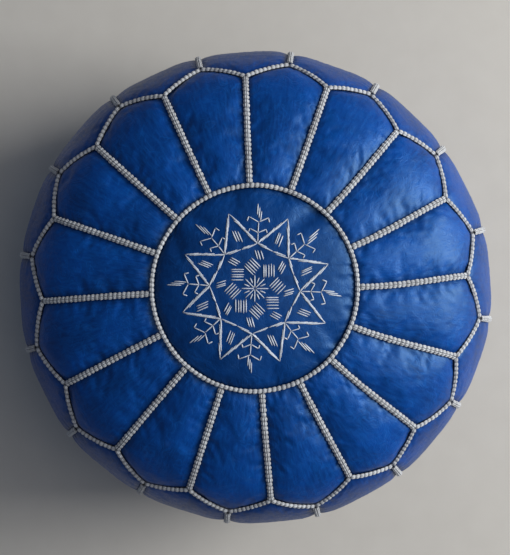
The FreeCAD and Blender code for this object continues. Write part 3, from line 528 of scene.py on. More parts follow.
def add_leather(name, outer, near, grain):
    """One piece of leather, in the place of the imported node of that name."""
    mesh = leather_mesh(f"{name}_leather", outer, near, grain)
    leather[name] = add_piece(mesh.name, mesh)
    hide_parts(name)


def finished_panel(name, seed):
    """The fine net of one panel, with its puckers."""
    turn, s, _, near = (refine(layer) for layer in PATTERNS[name])
    near = np.maximum(near, 0)
    outer = refine(sheets[name])
    outer = outer + grid_normals(outer) * puckers(turn, s, near, seed)[..., None]
    rng = np.random.default_rng(seed)
    shift = rng.uniform(0, 5, 2)
    middle = turn.mean()
    wide = section_place(s)[0].mean()
    grain = np.stack([(turn - middle) * wide, s], -1) * GRAIN_SCALE + shift
    if name == "medallion":
        grain = outer[..., :2] * GRAIN_SCALE + shift
    return outer, near, grain


leather = {}
for seed, name in enumerate(PATTERNS):
    add_leather(name, *finished_panel(name, 100 + 7 * seed))
faces = sum(len(piece.data.polygons) for piece in leather.values())
print(len(leather), "pieces of leather with", faces, "faces")

# %% [markdown]
# ## The base
#
# The base is two half rounds that meet at the zip. Beside the zip each one is turned up
# and folded back, so that the tape has a hem to be sewn to. We draw a half as lines that
# start on the back of the hem, come down its fold, and run out under the stuffing to the
# seam. Past the ends of the zip there is no hem, so the fold is let down flat there.

# %% Profile of the hem
HEM_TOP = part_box("zip_tapes")[0].z - 0.3 * MM
SLOT = 7 * MM
SLOT_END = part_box("zip_tapes")[1].x + 1.2 * MM
HEM = [
    (10.0, 1.0), (3.0, 1.0), (1.0, 0.94), (0.2, 0.78),
    (0.0, 0.48), (0.2, 0.18), (1.2, 0.03), (3.2, 0.0),
]
BASE_COLS, BASE_ROWS = 85, 41
BASE_RIPPLE = 0.5 * MM


def base_grid(hand):
    """One half of the base, as points and their distance to the seam."""
    rim = BASE_RING - SEAM_GAP / 2
    u = np.linspace(-1, 1, BASE_COLS)
    x_edge = u * (rim - 0.4 * MM)
    hem = 1 - smooth_step(SLOT_END - 4 * MM, SLOT_END + 3 * MM, np.abs(x_edge))
    y_edge = SEAM_GAP / 2 + (SLOT - SEAM_GAP / 2) * hem
    bearing = math.pi / 2 - u * math.radians(87)
    x_rim, y_rim = rim * np.cos(bearing), rim * np.sin(bearing)
    fold = []
    for out, height in HEM:
        y = y_edge + hem * out * MM + (1 - hem) * 0.05 * MM * len(fold)
        fold.append(np.stack([x_edge, y, hem * height * HEM_TOP + ABOVE_FLOOR], -1))
    start = fold[-1][:, :2]
    share = np.linspace(0, 1, BASE_ROWS)[1:, None]
    x = start[:, 0] + (x_rim - start[:, 0]) * share
    y = start[:, 1] + (y_rim - start[:, 1]) * share
    ripple = wave(np.arctan2(y, x) * 3, (5, 8, 11, 14), BASE_RIPPLE, 81) * np.hypot(x, y) / rim
    soft = np.sin(x * 55 + 1) * np.cos(y * 47) * BASE_RIPPLE
    edge = smooth_step(0, 18 * MM, rim - np.hypot(x, y)) * smooth_step(0, 12 * MM, y)
    z = np.maximum((ripple + soft + 0.7 * MM) * edge, 0) + ABOVE_FLOOR
    z = z + np.interp(np.hypot(x, y), SECTION_R[WIDEST:][::-1], SECTION_Z[WIDEST:][::-1])
    points = np.concatenate([np.stack(fold), np.stack([x, y, z], -1)])
    near = np.minimum(np.maximum(rim - np.hypot(points[..., 0], points[..., 1]), 0), 0.05)
    points[..., 2] += EDGE_DIP * np.exp(-near / EDGE_ROLL)
    points[..., :2] *= hand
    return points, near


for hand, name in ((1, "base_half_back"), (-1, "base_half_front")):
    outer, near = base_grid(hand)
    add_leather(name, outer, near, outer[..., :2] * GRAIN_SCALE + hand)
    way = grid_normals(outer)[BASE_ROWS // 2, BASE_COLS // 2]
    print(name, "faces", "down" if way[2] < 0 else "up")

# %% [markdown]
# ## The stuffing
#
# Inside is a calico bag full of cotton waste. It can't be seen while the cover is
# closed, but the real thing is there, and so is ours: a round, lumpy body a little way
# inside the leather, hollowed under the base to leave room for the zip.

# %% A lumpy bag of stuffing
STUFFING_INSET = 8 * MM
ZIP_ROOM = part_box("zip_slider")[1].z + 6 * MM
STUFFING_RINGS, STUFFING_AROUND = 60, 96


def stuffing_mesh():
    """Rings of points inside the cover, closed at both poles."""
    end = SECTION_S[-1] * 0.985
    s = np.linspace(SECTION_S[-1] * 0.015, end, STUFFING_RINGS)[:, None]
    turn = np.linspace(0, 2 * math.pi, STUFFING_AROUND, endpoint=False)[None, :]
    lump = wave(turn * 3, (2, 3, 5), 1.5 * MM, 41) * np.sin(s * 40)
    points, _ = on_cover(turn, s, -STUFFING_INSET + lump)
    points[..., 2] = np.maximum(points[..., 2], ZIP_ROOM)
    made = bmesh.new()
    net = [[made.verts.new(point) for point in ring] for ring in points]
    for upper, lower in zip(net, net[1:]):
        for n in range(STUFFING_AROUND):
            made.faces.new((upper[n - 1], lower[n - 1], lower[n], upper[n]))
    made.faces.new(net[0])
    made.faces.new(net[-1][::-1])
    bmesh.ops.recalc_face_normals(made, faces=made.faces)
    mesh = bpy.data.meshes.new("stuffing")
    made.to_mesh(mesh)
    mesh.polygons.foreach_set("use_smooth", np.ones(len(mesh.polygons), bool))
    return mesh


stuffing = add_piece("stuffing", stuffing_mesh())
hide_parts("filling")
print("stuffing with", len(stuffing.data.polygons), "faces")

# %% [markdown]
# ## Braids
#
# The seams are covered with thick pale thread: four strands run side by side along the
# seam, and a thin tie goes over them every few millimetres and pulls them in, so that
# they bulge between ties like a string of beads. A curve with a round bevel would only
# give a tube. So we run a tube of our own for each strand, whose distance from the
# middle of the seam swells and shrinks along it, and add the ties as small arches.

# %% Sizes of a braid
BEAD = 4.9 * MM
BRAID_WIDTH = 6.6 * MM
STRAND = 0.88 * MM
TIE = 0.42 * MM
BRAID_SEAT = 0.4 * MM
STRAND_RISE, TIE_RISE = 2.0 * MM, 1.5 * MM
STRAND_TURNS = np.radians([-66, -23, 23, 66])
PER_BEAD = 7


# %% Tubes through lists of points
def unit(vectors):
    """The same directions with a length of one."""
    return vectors / np.maximum(np.linalg.norm(vectors, axis=-1, keepdims=True), 1e-12)


def tube(points, radii, sides, up, closed=False):
    """Points and faces of a round tube. up is roughly square to its path."""
    if closed:
        ways = np.roll(points, -1, 0) - np.roll(points, 1, 0)
    else:
        ways = np.gradient(points, axis=0)
    ways = unit(ways)
    side = unit(np.cross(ways, up))
    top = np.cross(side, ways)
    turns = np.linspace(0, 2 * math.pi, sides, endpoint=False)
    radii = np.broadcast_to(radii, len(points))[:, None, None]
    around = np.cos(turns)[None, :, None] * side[:, None]
    around = around + np.sin(turns)[None, :, None] * top[:, None]
    skin = (points[:, None] + around * radii).reshape(-1, 3)
    count = len(points)
    first, last = np.arange(count if closed else count - 1), np.arange(sides)
    a = (first[:, None] * sides + last[None, :]).ravel()
    b = (first[:, None] * sides + (last[None, :] + 1) % sides).ravel()
    ahead = (((first + 1) % count)[:, None] * sides).repeat(sides, 1).ravel()
    c, d = ahead + b % sides, ahead + a % sides
    faces = np.stack([a, d, c, b], 1)
    if closed:
        return skin, faces.tolist()
    return skin, faces.tolist() + [last.tolist(), (last[::-1] + (count - 1) * sides).tolist()]


class Bundle:
    """Many tubes gathered into one mesh, with a painted shade value from 0 to 1 at each point."""

    def __init__(self):
        self.points, self.faces, self.soil, self.count = [], [], [], 0

    def add(self, points, radii, sides, up, soil=0.0, closed=False):
        skin, faces = tube(points, radii, sides, up, closed)
        self.points.append(skin)
        self.faces += [[n + self.count for n in face] for face in faces]
        self.soil.append(np.repeat(np.broadcast_to(soil, len(points)), sides))
        self.count += len(skin)

    def mesh(self, name):
        mesh = bpy.data.meshes.new(name)
        mesh.from_pydata(np.concatenate(self.points).tolist(), [], self.faces)
        mesh.polygons.foreach_set("use_smooth", np.ones(len(mesh.polygons), bool))
        # The painted shade values, kept as a point attribute for the thread material.
        soil = mesh.attributes.new("soil", "FLOAT", "POINT")
        soil.data.foreach_set("value", np.concatenate(self.soil))
        return mesh


# %% One braid along a path
def lengths_along(points):
    """The length of a path so far, at each of its points."""
    return np.concatenate([[0], np.cumsum(np.linalg.norm(np.diff(points, axis=0), axis=1))])


def at_lengths(where, length, values):
    """Values of a path's points, read off at other lengths along it."""
    return np.stack([np.interp(where, length, values[:, i]) for i in range(3)], 1)


def braid(bundle, points, normals, seed, closed=False, width=BRAID_WIDTH):
    """Adds one braid to a bundle. points run along the seam, on the cover."""
    rng = np.random.default_rng(seed)
    if closed:
        points = np.concatenate([points, points[:1]])
        normals = np.concatenate([normals, normals[:1]])
    length = lengths_along(points)
    beads = max(1, round(length[-1] / BEAD))
    steps = beads * PER_BEAD + (0 if closed else 1)
    at = np.arange(steps) / PER_BEAD
    where = at / beads * length[-1]
    path = at_lengths(where, length, points)
    up = unit(at_lengths(where, length, normals))
    if closed:
        along = unit(np.roll(path, -1, 0) - np.roll(path, 1, 0))
    else:
        along = unit(np.gradient(path, axis=0))
    side = np.cross(along, up)
    size = 1 + 0.07 * rng.normal(size=beads + 1)[np.minimum(at.astype(int), beads)]
    for n, turn in enumerate(STRAND_TURNS):
        phase = (at + 0.04 * (n - 1.5)) % 1.0
        swell = 0.46 + 0.54 * np.sin(math.pi * phase) ** 0.55
        spread = math.sin(turn) * (width / 2 - STRAND) / math.sin(STRAND_TURNS[-1])
        across = spread * swell * size
        rise = BRAID_SEAT + (math.cos(turn) * STRAND_RISE) * swell * size
        strand = path + side * across[:, None] + up * rise[:, None]
        thick = STRAND * (0.62 + 0.46 * np.sin(math.pi * phase) ** 0.5)
        # Painted shade: each strand is coloured darker where it pinches in between beads, where the
        # gaps lie in shade.
        soil = (1 - np.sin(math.pi * phase)) ** 1.3
        bundle.add(strand, thick, 7, up, soil, closed)
    for n in range(beads + (0 if closed else 1)):
        k = min(n * PER_BEAD, steps - 1)
        turns = np.radians(np.linspace(-96, 96, 9))
        lean = 0.16 * BEAD * np.sin(turns)
        arch = path[k] + side[k] * (np.sin(turns) * width * 0.34)[:, None]
        arch = arch + up[k] * (BRAID_SEAT + np.cos(turns) * TIE_RISE)[:, None]
        arch = arch + along[k] * lean[:, None]
        # The ties are coloured nearly as dark as the gaps, as painted shade over the pinches.
        bundle.add(arch, TIE, 5, along[k] + 0 * arch, 0.95)


def seam_line(start, end, count=80):
    """A seam straight from one place to another, each given as (turn, section length)."""
    share = np.linspace(0, 1, count)
    return start[0] + (end[0] - start[0]) * share, start[1] + (end[1] - start[1]) * share


# %% The seams that braids cover
RING_S, BASE_RING_S = along_section(RING, True), along_section(BASE_RING, False)


def zigzag(tip_turn, hand, upper):
    """The seam from a petal's tip to the next junction, on one side."""
    way = np.linspace(0.0, HALF_PITCH, 40)
    s = along_section(zigzag_radius(way), upper)
    return tip_turn + hand * way, s


def trimmed(turn, s, start, end):
    """Points and normals on the cover, shortened at its two ends by these lengths."""
    points, normals = on_cover(turn, s)
    length = lengths_along(points)
    keep = np.linspace(start, length[-1] - end, len(points))
    return at_lengths(keep, length, points), unit(at_lengths(keep, length, normals))


def add_braid(name, paths, node, seed, closed=False, width=BRAID_WIDTH):
    """The braids along some paths as one piece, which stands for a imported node."""
    bundle = Bundle()
    for n, (points, normals) in enumerate(paths):
        braid(bundle, points, normals, seed + n, closed, width)
    piece = add_piece(name, bundle.mesh(name))
    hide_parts(node)
    return piece


MEET = BRAID_WIDTH * 0.42
RING_WIDTH, TIP_WIDTH = 4.8 * MM, 5.2 * MM
braids = []
for upper, node, seed in ((True, "upper_braids", 500), (False, "lower_braids", 700)):
    ring_s = RING_S if upper else BASE_RING_S
    word = "top" if upper else "foot"
    around = np.linspace(0, 2 * math.pi, 400, endpoint=False)
    ring = on_cover(around, ring_s + 0 * around)
    braids.append(add_braid(f"{word}_ring_braid", [ring], node, seed, True, RING_WIDTH))
    for n in range(PANELS):
        seam = n * 2 * HALF_PITCH
        fork_s = along_section(JUNCTION, upper)
        line = trimmed(*seam_line((seam, ring_s), (seam, fork_s)), MEET, MEET / 2)
        braids.append(add_braid(f"{word}_petal_braid_{n + 1:02d}", [line], node, seed + 10 + n))
        tip = seam + HALF_PITCH
        pair = [trimmed(*zigzag(tip, hand, upper), MEET / 3, MEET / 3) for hand in (-1, 1)]
        name = f"{word}_tip_braid_{n + 1:02d}"
        braids.append(add_braid(name, pair, node, seed + 50 + 2 * n, width=TIP_WIDTH))
for n in range(PANELS):
    seam = (n + 0.5) * 2 * HALF_PITCH
    ends = [(seam, along_section(TIP, upper)) for upper in (True, False)]
    line = trimmed(*seam_line(*ends, count=160), MEET / 2, MEET / 2)
    braids.append(add_braid(f"side_braid_{n + 1:02d}", [line], "side_braids", 900 + n))
faces = sum(len(piece.data.polygons) for piece in braids)
print(len(braids), "braids with", faces, "faces")

# %% [markdown]
# ## Embroidery
#
# The star is worked in long straight stitches of shiny thread. A line of the star is not
# one stitch but a run of them, each starting beside the last and leaning across it, so
# the line is thick in the middle and thin at its ends. Fronds and hatches are single
# stitches. Each stitch here is its own tube that dips into the leather at both ends, and
# a ray cast from above finds the leather under it.

# %% Where the medallion's leather lies
EMBROIDERY_TURN = math.radians(15.3)
THREAD = 0.62 * MM
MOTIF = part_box("embroidery")[1].y / (84.0 * MM)
POINTS_OF_STAR = 8


def medallion_tree():
    """The outer face of the medallion, ready for rays to be cast at it."""
    mesh = leather["medallion"].data
    points = np.empty(len(mesh.vertices) * 3)
    mesh.vertices.foreach_get("co", points)
    half = len(mesh.vertices) // 2
    faces = [list(f.vertices) for f in mesh.polygons if max(f.vertices) < half]
    return BVHTree.FromPolygons(points.reshape(-1, 3)[:half].tolist(), faces)


under_thread = medallion_tree()


def height_at(x, y):
    """Height of the leather's face over a place."""
    hit = under_thread.ray_cast(Vector((x, y, 1.0)), Vector((0, 0, -1)))[0]
    return hit.z if hit else HEIGHT


# %% Stitches of the motif, in millimetres about its middle
def polar(radius, degrees):
    """A flat place, from its distance and bearing."""
    turn = math.radians(degrees)
    return np.array([radius * math.cos(turn), radius * math.sin(turn)])


def stem_line(start, end, rng, stitch=14.5, step=4.4, spread=1.25):
    """A line of the star: long stitches that overlap and lean across it."""
    run = end - start
    length = np.hypot(*run)
    way = run / length
    across = np.array([-way[1], way[0]])
    stitches, at = [], 0.0
    while at < length - step * 0.6:
        reach = min(at + stitch * rng.uniform(0.85, 1.15), length)
        lean = spread * rng.uniform(0.6, 1.1)
        first = start + way * max(at - 1.0, 0) - across * lean
        last = start + way * reach + across * lean
        if at < step:
            first = start + way * at - across * lean * 0.2
        if reach > length - 2:
            last = start + way * length + across * lean * 0.2
        stitches.append((first, last))
        at += step * rng.uniform(0.85, 1.15)
    return stitches


def hatch(centre, direction, length, spacing, count, rng):
    """Short stitches side by side."""
    step = polar(spacing, direction + 90)
    run = polar(length / 2, direction)
    made = []
    for n in range(count):
        at = centre + step * (n - (count - 1) / 2) + rng.normal(0, 0.22, 2)
        at = at + run / 6 * ((n - (count - 1) / 2) if count == 3 else 0)
        made.append((at - run * rng.uniform(0.9, 1.05), at + run * rng.uniform(0.9, 1.05)))
    return made


def frond(bearing, knot, tip, rng):
    """A stem, two pairs of hooked branches and three stitches at its end."""
    out, across = polar(1, bearing), polar(1, bearing + 90)
    lean = across * rng.normal(0, 0.5)
    forks = [out * (knot + 9.5) + lean, out * (knot + 20) + lean]
    made = [(out * knot, forks[0]), (forks[0], forks[1])]
    hand = rng.choice((-1, 1))
    for n in (-1, 0, 1):
        start = forks[1] + across * (hand * n * 1.7) + out * (4.0 + 3.0 * n)
        made.append((start, out * (tip - 3.5 + 3.5 * n) + across * (hand * n * 2.0)))
    for fork, reach in zip(forks, (8.5, 11.0)):
        for hand in (-1, 1):
            bend_at = fork + out * (reach * 0.45) + across * (hand * reach * rng.uniform(0.85, 1.0))
            hook = bend_at + across * (hand * 1.2) - out * (reach * 0.42)
            made += [(fork, bend_at), (bend_at, hook)]
    return made


def motif_stitches():
    """Every stitch of the medallion, as (start, end)."""
    rng = np.random.default_rng(61)
    made = []
    for n in range(POINTS_OF_STAR):
        base = 360.0 / POINTS_OF_STAR * n
        point = polar(77 + rng.normal(0, 0.8), base + rng.normal(0, 0.5))
        knots = [polar(44.5, base + hand * 22.5) for hand in (-1, 1)]
        for knot in knots:
            made += stem_line(point, knot, rng)
        inner = 0.985 * (knots[0] + knots[1]) / 2
        made += stem_line(knots[0], inner, rng) + stem_line(inner, knots[1], rng)
        made += hatch(polar(54, base), base + 5, 12.5, 2.2, 3, rng)
        made += frond(base + 22.5, 45.5, 85 + rng.uniform(-3, 3), rng)
        made += hatch(polar(33.5, base + 19), base + 43, 10.5, 2.2, 3, rng)
        made += hatch(polar(22, base - 12.5), base + 26.5, 13.5, 2.6, 5, rng)
        made.append((polar(0.8, base + 26), polar(13.5, base + 26)))
        made.append((polar(5.5, base + 4), polar(11.5, base + 4)))
    return made


# %% Sew the motif on the medallion
def sew(stitches):
    """Each stitch as a tube. Where stitches cross, later ones lie over earlier ones."""
    bundle = Bundle()
    rng = np.random.default_rng(62)
    cos, sin = math.cos(EMBROIDERY_TURN), math.sin(EMBROIDERY_TURN)
    level = {}
    for start, end in stitches:
        count = 9
        share = np.linspace(0, 1, count)[:, None]
        flat = (start + (end - start) * share) * MM * MOTIF
        flat = flat @ np.array([[cos, sin], [-sin, cos]])
        arch = np.sin(math.pi * share[:, 0]) ** 0.35
        middle = tuple(np.round(flat[count // 2] / (2.2 * MM)).astype(int))
        level[middle] = level.get(middle, -1) + 1
        z = np.array([height_at(x, y) for x, y in flat])
        lift = THREAD * (0.45 + 0.55 * level[middle]) * arch - 0.5 * THREAD * (1 - arch)
        path = np.column_stack([flat, z + lift])
        thick = THREAD * (0.55 + 0.45 * arch) * rng.uniform(0.88, 1.08)
        # Painted shade: the ends of each stitch, where it dips into the leather, are coloured
        # darker.
        bundle.add(path, thick, 7, np.array([[0.0, 0.0, 1.0]]), (1 - arch) * 0.8)
    return bundle.mesh("star_embroidery")


stitches = motif_stitches()
embroidery = add_piece("star_embroidery", sew(stitches))
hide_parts("embroidery")
print(len(stitches), "stitches with", len(embroidery.data.polygons), "faces")

# %% [markdown]
# ## Building materials from nodes
#
# Every finish below is a node tree. A few short helpers keep them readable: they add a
# node and link or set its inputs, start a material, and start a node group, which is how
# an effect that several materials share is made once.


# %% Helpers for node trees
def feed(tree, socket, item):
    """Links a socket to another node's output, or sets it to a number or a colour."""
    if isinstance(item, bpy.types.NodeSocket):
        tree.links.new(item, socket)
    elif item is not None:
        socket.default_value = (*item, 1.0) if socket.type == "RGBA" else item


def node(tree, kind, *unnamed, output=0, settings=None, **inputs):
    """Adds a node. Its inputs are given in order or by name, as numbers or as sockets
    of other nodes, and one of its outputs is returned."""
    made = tree.nodes.new(f"ShaderNode{kind}")
    for name, setting in (settings or {}).items():
        setattr(made, name, setting)
    for socket, item in zip([s for s in made.inputs if s.enabled], unnamed):
        feed(tree, socket, item)
    for key, item in inputs.items():
        feed(tree, made.inputs[key.replace("_", " ")], item)
    return made.outputs[output]


def math_node(tree, operation, *values):
    made = tree.nodes.new("ShaderNodeMath")
    made.operation = operation
    for socket, item in zip(made.inputs, values):
        feed(tree, socket, item)
    return made.outputs[0]


def times(tree, *values):
    return math_node(tree, "MULTIPLY", *values)


def plus(tree, *values):
    return math_node(tree, "ADD", *values)


def mix_colour(tree, share, first, second):
    made = tree.nodes.new("ShaderNodeMix")
    made.data_type = "RGBA"
    for number, item in ((0, share), (6, first), (7, second)):
        feed(tree, made.inputs[number], item)
    return made.outputs[2]


def span(tree, value, low, high, to_low=0.0, to_high=1.0):
    """A value moved from one range to another, and kept inside it."""
    return node(tree, "MapRange", value, low, high, to_low, to_high)


def new_group(name, inputs, outputs):
    """A shader node group. inputs and outputs are (name, socket kind, default)."""
    group = bpy.data.node_groups.new(name, "ShaderNodeTree")
    for label, kind, default in inputs:
        socket = group.interface.new_socket(label, in_out="INPUT", socket_type=f"NodeSocket{kind}")
        if default is not None:
            socket.default_value = default
    for label in outputs:
        group.interface.new_socket(label, in_out="OUTPUT", socket_type="NodeSocketFloat")
    given = group.nodes.new("NodeGroupInput").outputs
    return group, given, group.nodes.new("NodeGroupOutput").inputs


def use_group(tree, group, **inputs):
    """Places a group and returns its outputs by name."""
    made = tree.nodes.new("ShaderNodeGroup")
    made.node_tree = group
    for key, item in inputs.items():
        feed(tree, made.inputs[key], item)
    return made.outputs


def new_material(name):
    """A material with a fresh tree: (material, tree, its Principled BSDF)."""
    material = bpy.data.materials.new(name)
    material.use_nodes = True
    tree = material.node_tree
    return material, tree, tree.nodes["Principled BSDF"]


def bump(tree, shader, strength, depth, height):
    """Roughens a shader's surface by a height."""
    made = node(tree, "Bump", Strength=strength, Distance=depth, Height=height)
    tree.links.new(made, shader.inputs["Normal"])


# %% [markdown]
# ## Hide
#
# Hand-dyed goat leather is never one blue. Dye pools into dark clouds and leaves pale
# streaks along the way it was rubbed, the surface has a fine pebble grain cut by long
# creases and thin winding wrinkles, and it is scuffed pale where hands touch it. One
# group makes all of those as masks and heights, and petals, sides and medallion each use
# it with their own blues. Streaks follow the UV map, which runs along each panel, and
# clouds follow the object, so that they don't repeat from panel to panel. A wrinkle is
# the line where a stretched noise passes its middle value, like the shore of a lake.


# %% The hide group
def hide_group():
    group, given, result = new_group(
        "hide",
        [("Position", "Vector", None), ("Grain", "Vector", None), ("Crease", "Float", 1.0)],
        ("Clouds", "Streaks", "Scuffs", "Wrinkles", "Height"),
    )
    position, grain, crease = given[0], given[1], given[2]

    def noise(vector, scale, detail, rough, warp=0.0):
        named = {"Scale": scale, "Detail": detail, "Roughness": rough, "Distortion": warp}
        return node(group, "TexNoise", Vector=vector, **named)

    def cracks(vector, scale, width):
        """0 on the edges between cells, and 1 inside them."""
        edges = {"feature": "DISTANCE_TO_EDGE"}
        cells = node(group, "TexVoronoi", Vector=vector, Scale=scale, settings=edges)
        return span(group, cells, 0.0, width)

    clouds = noise(position, 16.0, 5.0, 0.62, 0.6)
    feed(group, result["Clouds"], span(group, clouds, 0.32, 0.70))
    stretched = node(group, "Mapping", Vector=grain, Scale=(38.0, 5.5, 1.0))
    streaks = noise(stretched, 1.0, 7.0, 0.66, 0.35)
    feed(group, result["Streaks"], span(group, streaks, 0.40, 0.72))
    rubbed = noise(position, 55.0, 6.0, 0.7)
    feed(group, result["Scuffs"], span(group, rubbed, 0.60, 0.76))

    soft_cells = {"feature": "SMOOTH_F1"}
    pebble = node(group, "TexVoronoi", Vector=position, Scale=620.0, settings=soft_cells)
    bend_by = node(group, "TexNoise", Vector=grain, Scale=3.0, Detail=2.0, output=1)
    bent = node(group, "VectorMath", grain, bend_by, settings={"operation": "ADD"})
    long_creases = times(group, cracks(bent, 7.0, 0.07), 0.6)
    short_creases = times(group, cracks(bent, 24.0, 0.09), 0.4)
    where = span(group, clouds, 0.42, 0.62)
    creases = times(group, times(group, plus(group, long_creases, short_creases), where), crease)

    thin = node(group, "Mapping", Vector=bent, Scale=(17.0, 4.5, 1.0))
    hills = noise(thin, 1.0, 2.0, 0.5)
    shore = math_node(group, "ABSOLUTE", math_node(group, "SUBTRACT", hills, 0.5))
    patches = span(group, rubbed, 0.35, 0.60)
    wrinkles = times(group, span(group, shore, 0.0, 0.055, 1.0, 0.0), patches)
    feed(group, result["Wrinkles"], wrinkles)

    height = plus(group, times(group, pebble, -0.30), creases)
    height = plus(group, height, times(group, streaks, 0.35))
    height = math_node(group, "SUBTRACT", height, times(group, wrinkles, 0.6))
    feed(group, result["Height"], height)
    return group


HIDE = hide_group()
print("hide gives", ", ".join(s.name for s in HIDE.interface.items_tree if s.in_out == "OUTPUT"))


# %% Blue leather
RUBBED_BLUE = (0.05, 0.16, 0.42)
# Reach, in millimetres, of the painted shade that darkens the leather beside each seam.
SEAM_SHADE = 9.0


def blue_leather(name, deep, cobalt, pale, seam_painted_shade, streaky=0.38):
    """Dyed leather. The colours run from pooled dye to rubbed streaks. The number after the
    three colours is painted shade: how much darker the leather is coloured at a seam,
    fading out over SEAM_SHADE millimetres."""
    material, tree, shader = new_material(name)
    place = node(tree, "TexCoord", output=3)
    grain = node(tree, "UVMap", settings={"uv_map": "grain"})
    hide = use_group(tree, HIDE, Position=place, Grain=grain, Crease=0.8)
    colour = mix_colour(tree, hide["Clouds"], deep, cobalt)
    colour = mix_colour(tree, times(tree, hide["Streaks"], streaky), colour, pale)
    colour = mix_colour(tree, times(tree, hide["Wrinkles"], 0.30), colour, pale)
    distance = node(tree, "Attribute", settings={"attribute_name": "seam_distance"}, output=2)
    # Painted shade: the leather is coloured darker towards each seam, where the groove beside the
    # braid lies in shade.
    near = span(tree, distance, 0.0, SEAM_SHADE, seam_painted_shade, 0.0)
    colour = mix_colour(tree, near, colour, tuple(0.25 * c for c in deep))
    colour = mix_colour(tree, times(tree, hide["Scuffs"], 0.16), colour, RUBBED_BLUE)
    feed(tree, shader.inputs["Base Color"], colour)
    feed(tree, shader.inputs["Roughness"], span(tree, hide["Streaks"], 0.0, 1.0, 0.40, 0.54))
    bump(tree, shader, 0.32, 0.6 * MM, hide["Height"])
    shader.inputs["Specular IOR Level"].default_value = 0.55
    shader.inputs["Specular Tint"].default_value = (0.26, 0.58, 0.95, 1.0)
    shader.inputs["Coat Weight"].default_value = 0.05
    shader.inputs["Coat Roughness"].default_value = 0.35
    return material


# Each blue also gives how dark the painted shade at its seams is.
LEATHER_BLUES = {
    "top_petal": blue_leather(
        "petal_leather",
        deep=(0.0004, 0.024, 0.135),
        cobalt=(0.0006, 0.054, 0.285),
        pale=(0.002, 0.108, 0.43),
        seam_painted_shade=0.75,
    ),
    "side_panel": blue_leather(
        "side_leather",
        deep=(0.0015, 0.021, 0.120),
        cobalt=(0.002, 0.048, 0.260),
        pale=(0.008, 0.095, 0.38),
        seam_painted_shade=0.70,
    ),
    "medallion": blue_leather(
        "medallion_leather",
        deep=(0.0003, 0.021, 0.105),
        cobalt=(0.0004, 0.040, 0.190),
        pale=(0.001, 0.072, 0.29),
        seam_painted_shade=0.85,
        streaky=0.15,
    ),
}
LEATHER_BLUES["foot_petal"] = LEATHER_BLUES["base_half"] = LEATHER_BLUES["side_panel"]
for name, piece in leather.items():
    kind = name if name == "medallion" else name.rsplit("_", 1)[0]
    piece.data.materials.append(LEATHER_BLUES[kind])
print("leather in", len(set(LEATHER_BLUES.values())), "blues")

# %% [markdown]
# ## Thread, tape and calico
#
# Spun fibre shares one look at different scales: a twist that runs across the thread,
# loose hairs that catch light, and a colour that is never quite even. One group gives
# the twist as a height and the unevenness as a mask. Braid, embroidery, calico and zip
# tape each place it with their own scale. Braids are coloured darker at the pinches
# between beads and on their ties, and stitches at their ends where they dip into the
# leather: this is painted shade, which a point attribute marks.


# %% The spun fibre group
def fibre_group():
    group, given, result = new_group(
        "spun_fibre",
        [("Position", "Vector", None), ("Scale", "Float", 1.0)],
        ("Uneven", "Height"),
    )
    scaled = node(group, "VectorMath", given[0], settings={"operation": "SCALE"})
    feed(group, scaled.node.inputs["Scale"], given[1])
    twist = node(
        group, "TexWave", Vector=scaled, Scale=260.0, Distortion=5.0, Detail=2.0,
        settings={"bands_direction": "DIAGONAL"}, output=1,
    )
    hairs = node(group, "TexNoise", Vector=scaled, Scale=1500.0, Detail=3.0)
    uneven = node(group, "TexNoise", Vector=scaled, Scale=90.0, Detail=4.0, Roughness=0.6)
    feed(group, result["Uneven"], span(group, uneven, 0.35, 0.68))
    feed(group, result["Height"], plus(group, times(group, twist, 0.7), times(group, hairs, 0.5)))
    return group


FIBRE = fibre_group()


def fibre_material(name, light, dark, scale, rough, sheen, soil_colour=None, depth=0.25 * MM):
    """Thread or cloth. The colour for painted shade, if given, darkens it where the point shade
    attribute is high.
    """
    material, tree, shader = new_material(name)
    place = node(tree, "TexCoord", output=3)
    fibre = use_group(tree, FIBRE, Position=place, Scale=scale)
    colour = mix_colour(tree, fibre["Uneven"], dark, light)
    if soil_colour:
        # Painted shade, read from the point attribute.
        soil = node(tree, "Attribute", settings={"attribute_name": "soil"}, output=2)
        colour = mix_colour(tree, times(tree, soil, 0.85), colour, soil_colour)
    feed(tree, shader.inputs["Base Color"], colour)
    bump(tree, shader, 0.5, depth, fibre["Height"])
    shader.inputs["Roughness"].default_value = rough
    shader.inputs["Sheen Weight"].default_value = sheen
    shader.inputs["Sheen Roughness"].default_value = 0.5
    return material


# Braid thread, with a near-black colour for the painted shade in its gaps and on its ties.
BRAID_THREAD = fibre_material(
    "braid_thread", (0.61, 0.61, 0.60), (0.43, 0.42, 0.41),
    scale=1.0, rough=0.62, sheen=0.2, soil_colour=(0.085, 0.085, 0.10),
)
# Star thread, with a grey-blue colour for the painted shade at its stitch ends.
STAR_THREAD = fibre_material(
    "star_thread", (0.74, 0.76, 0.79), (0.50, 0.52, 0.55),
    scale=1.6, rough=0.42, sheen=0.3, soil_colour=(0.16, 0.17, 0.22), depth=0.12 * MM,
)
CALICO = fibre_material(
    "calico", (0.72, 0.68, 0.58), (0.55, 0.50, 0.40), scale=0.4, rough=0.9, sheen=0.2
)
TAPE = fibre_material(
    "zip_tape", (0.035, 0.05, 0.12), (0.015, 0.02, 0.06), scale=1.2, rough=0.8, sheen=0.15
)
for piece in braids:
    piece.data.materials.append(BRAID_THREAD)
embroidery.data.materials.append(STAR_THREAD)
stuffing.data.materials.append(CALICO)
print("thread on", len(braids) + 1, "pieces")

# %% [markdown]
# ## Brass
#
# A metal zip that is handled for years is bright on its rubbed parts and brown where
# sweat has dulled it. The teeth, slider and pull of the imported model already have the
# right shapes, so they stay as they are and only get this finish.


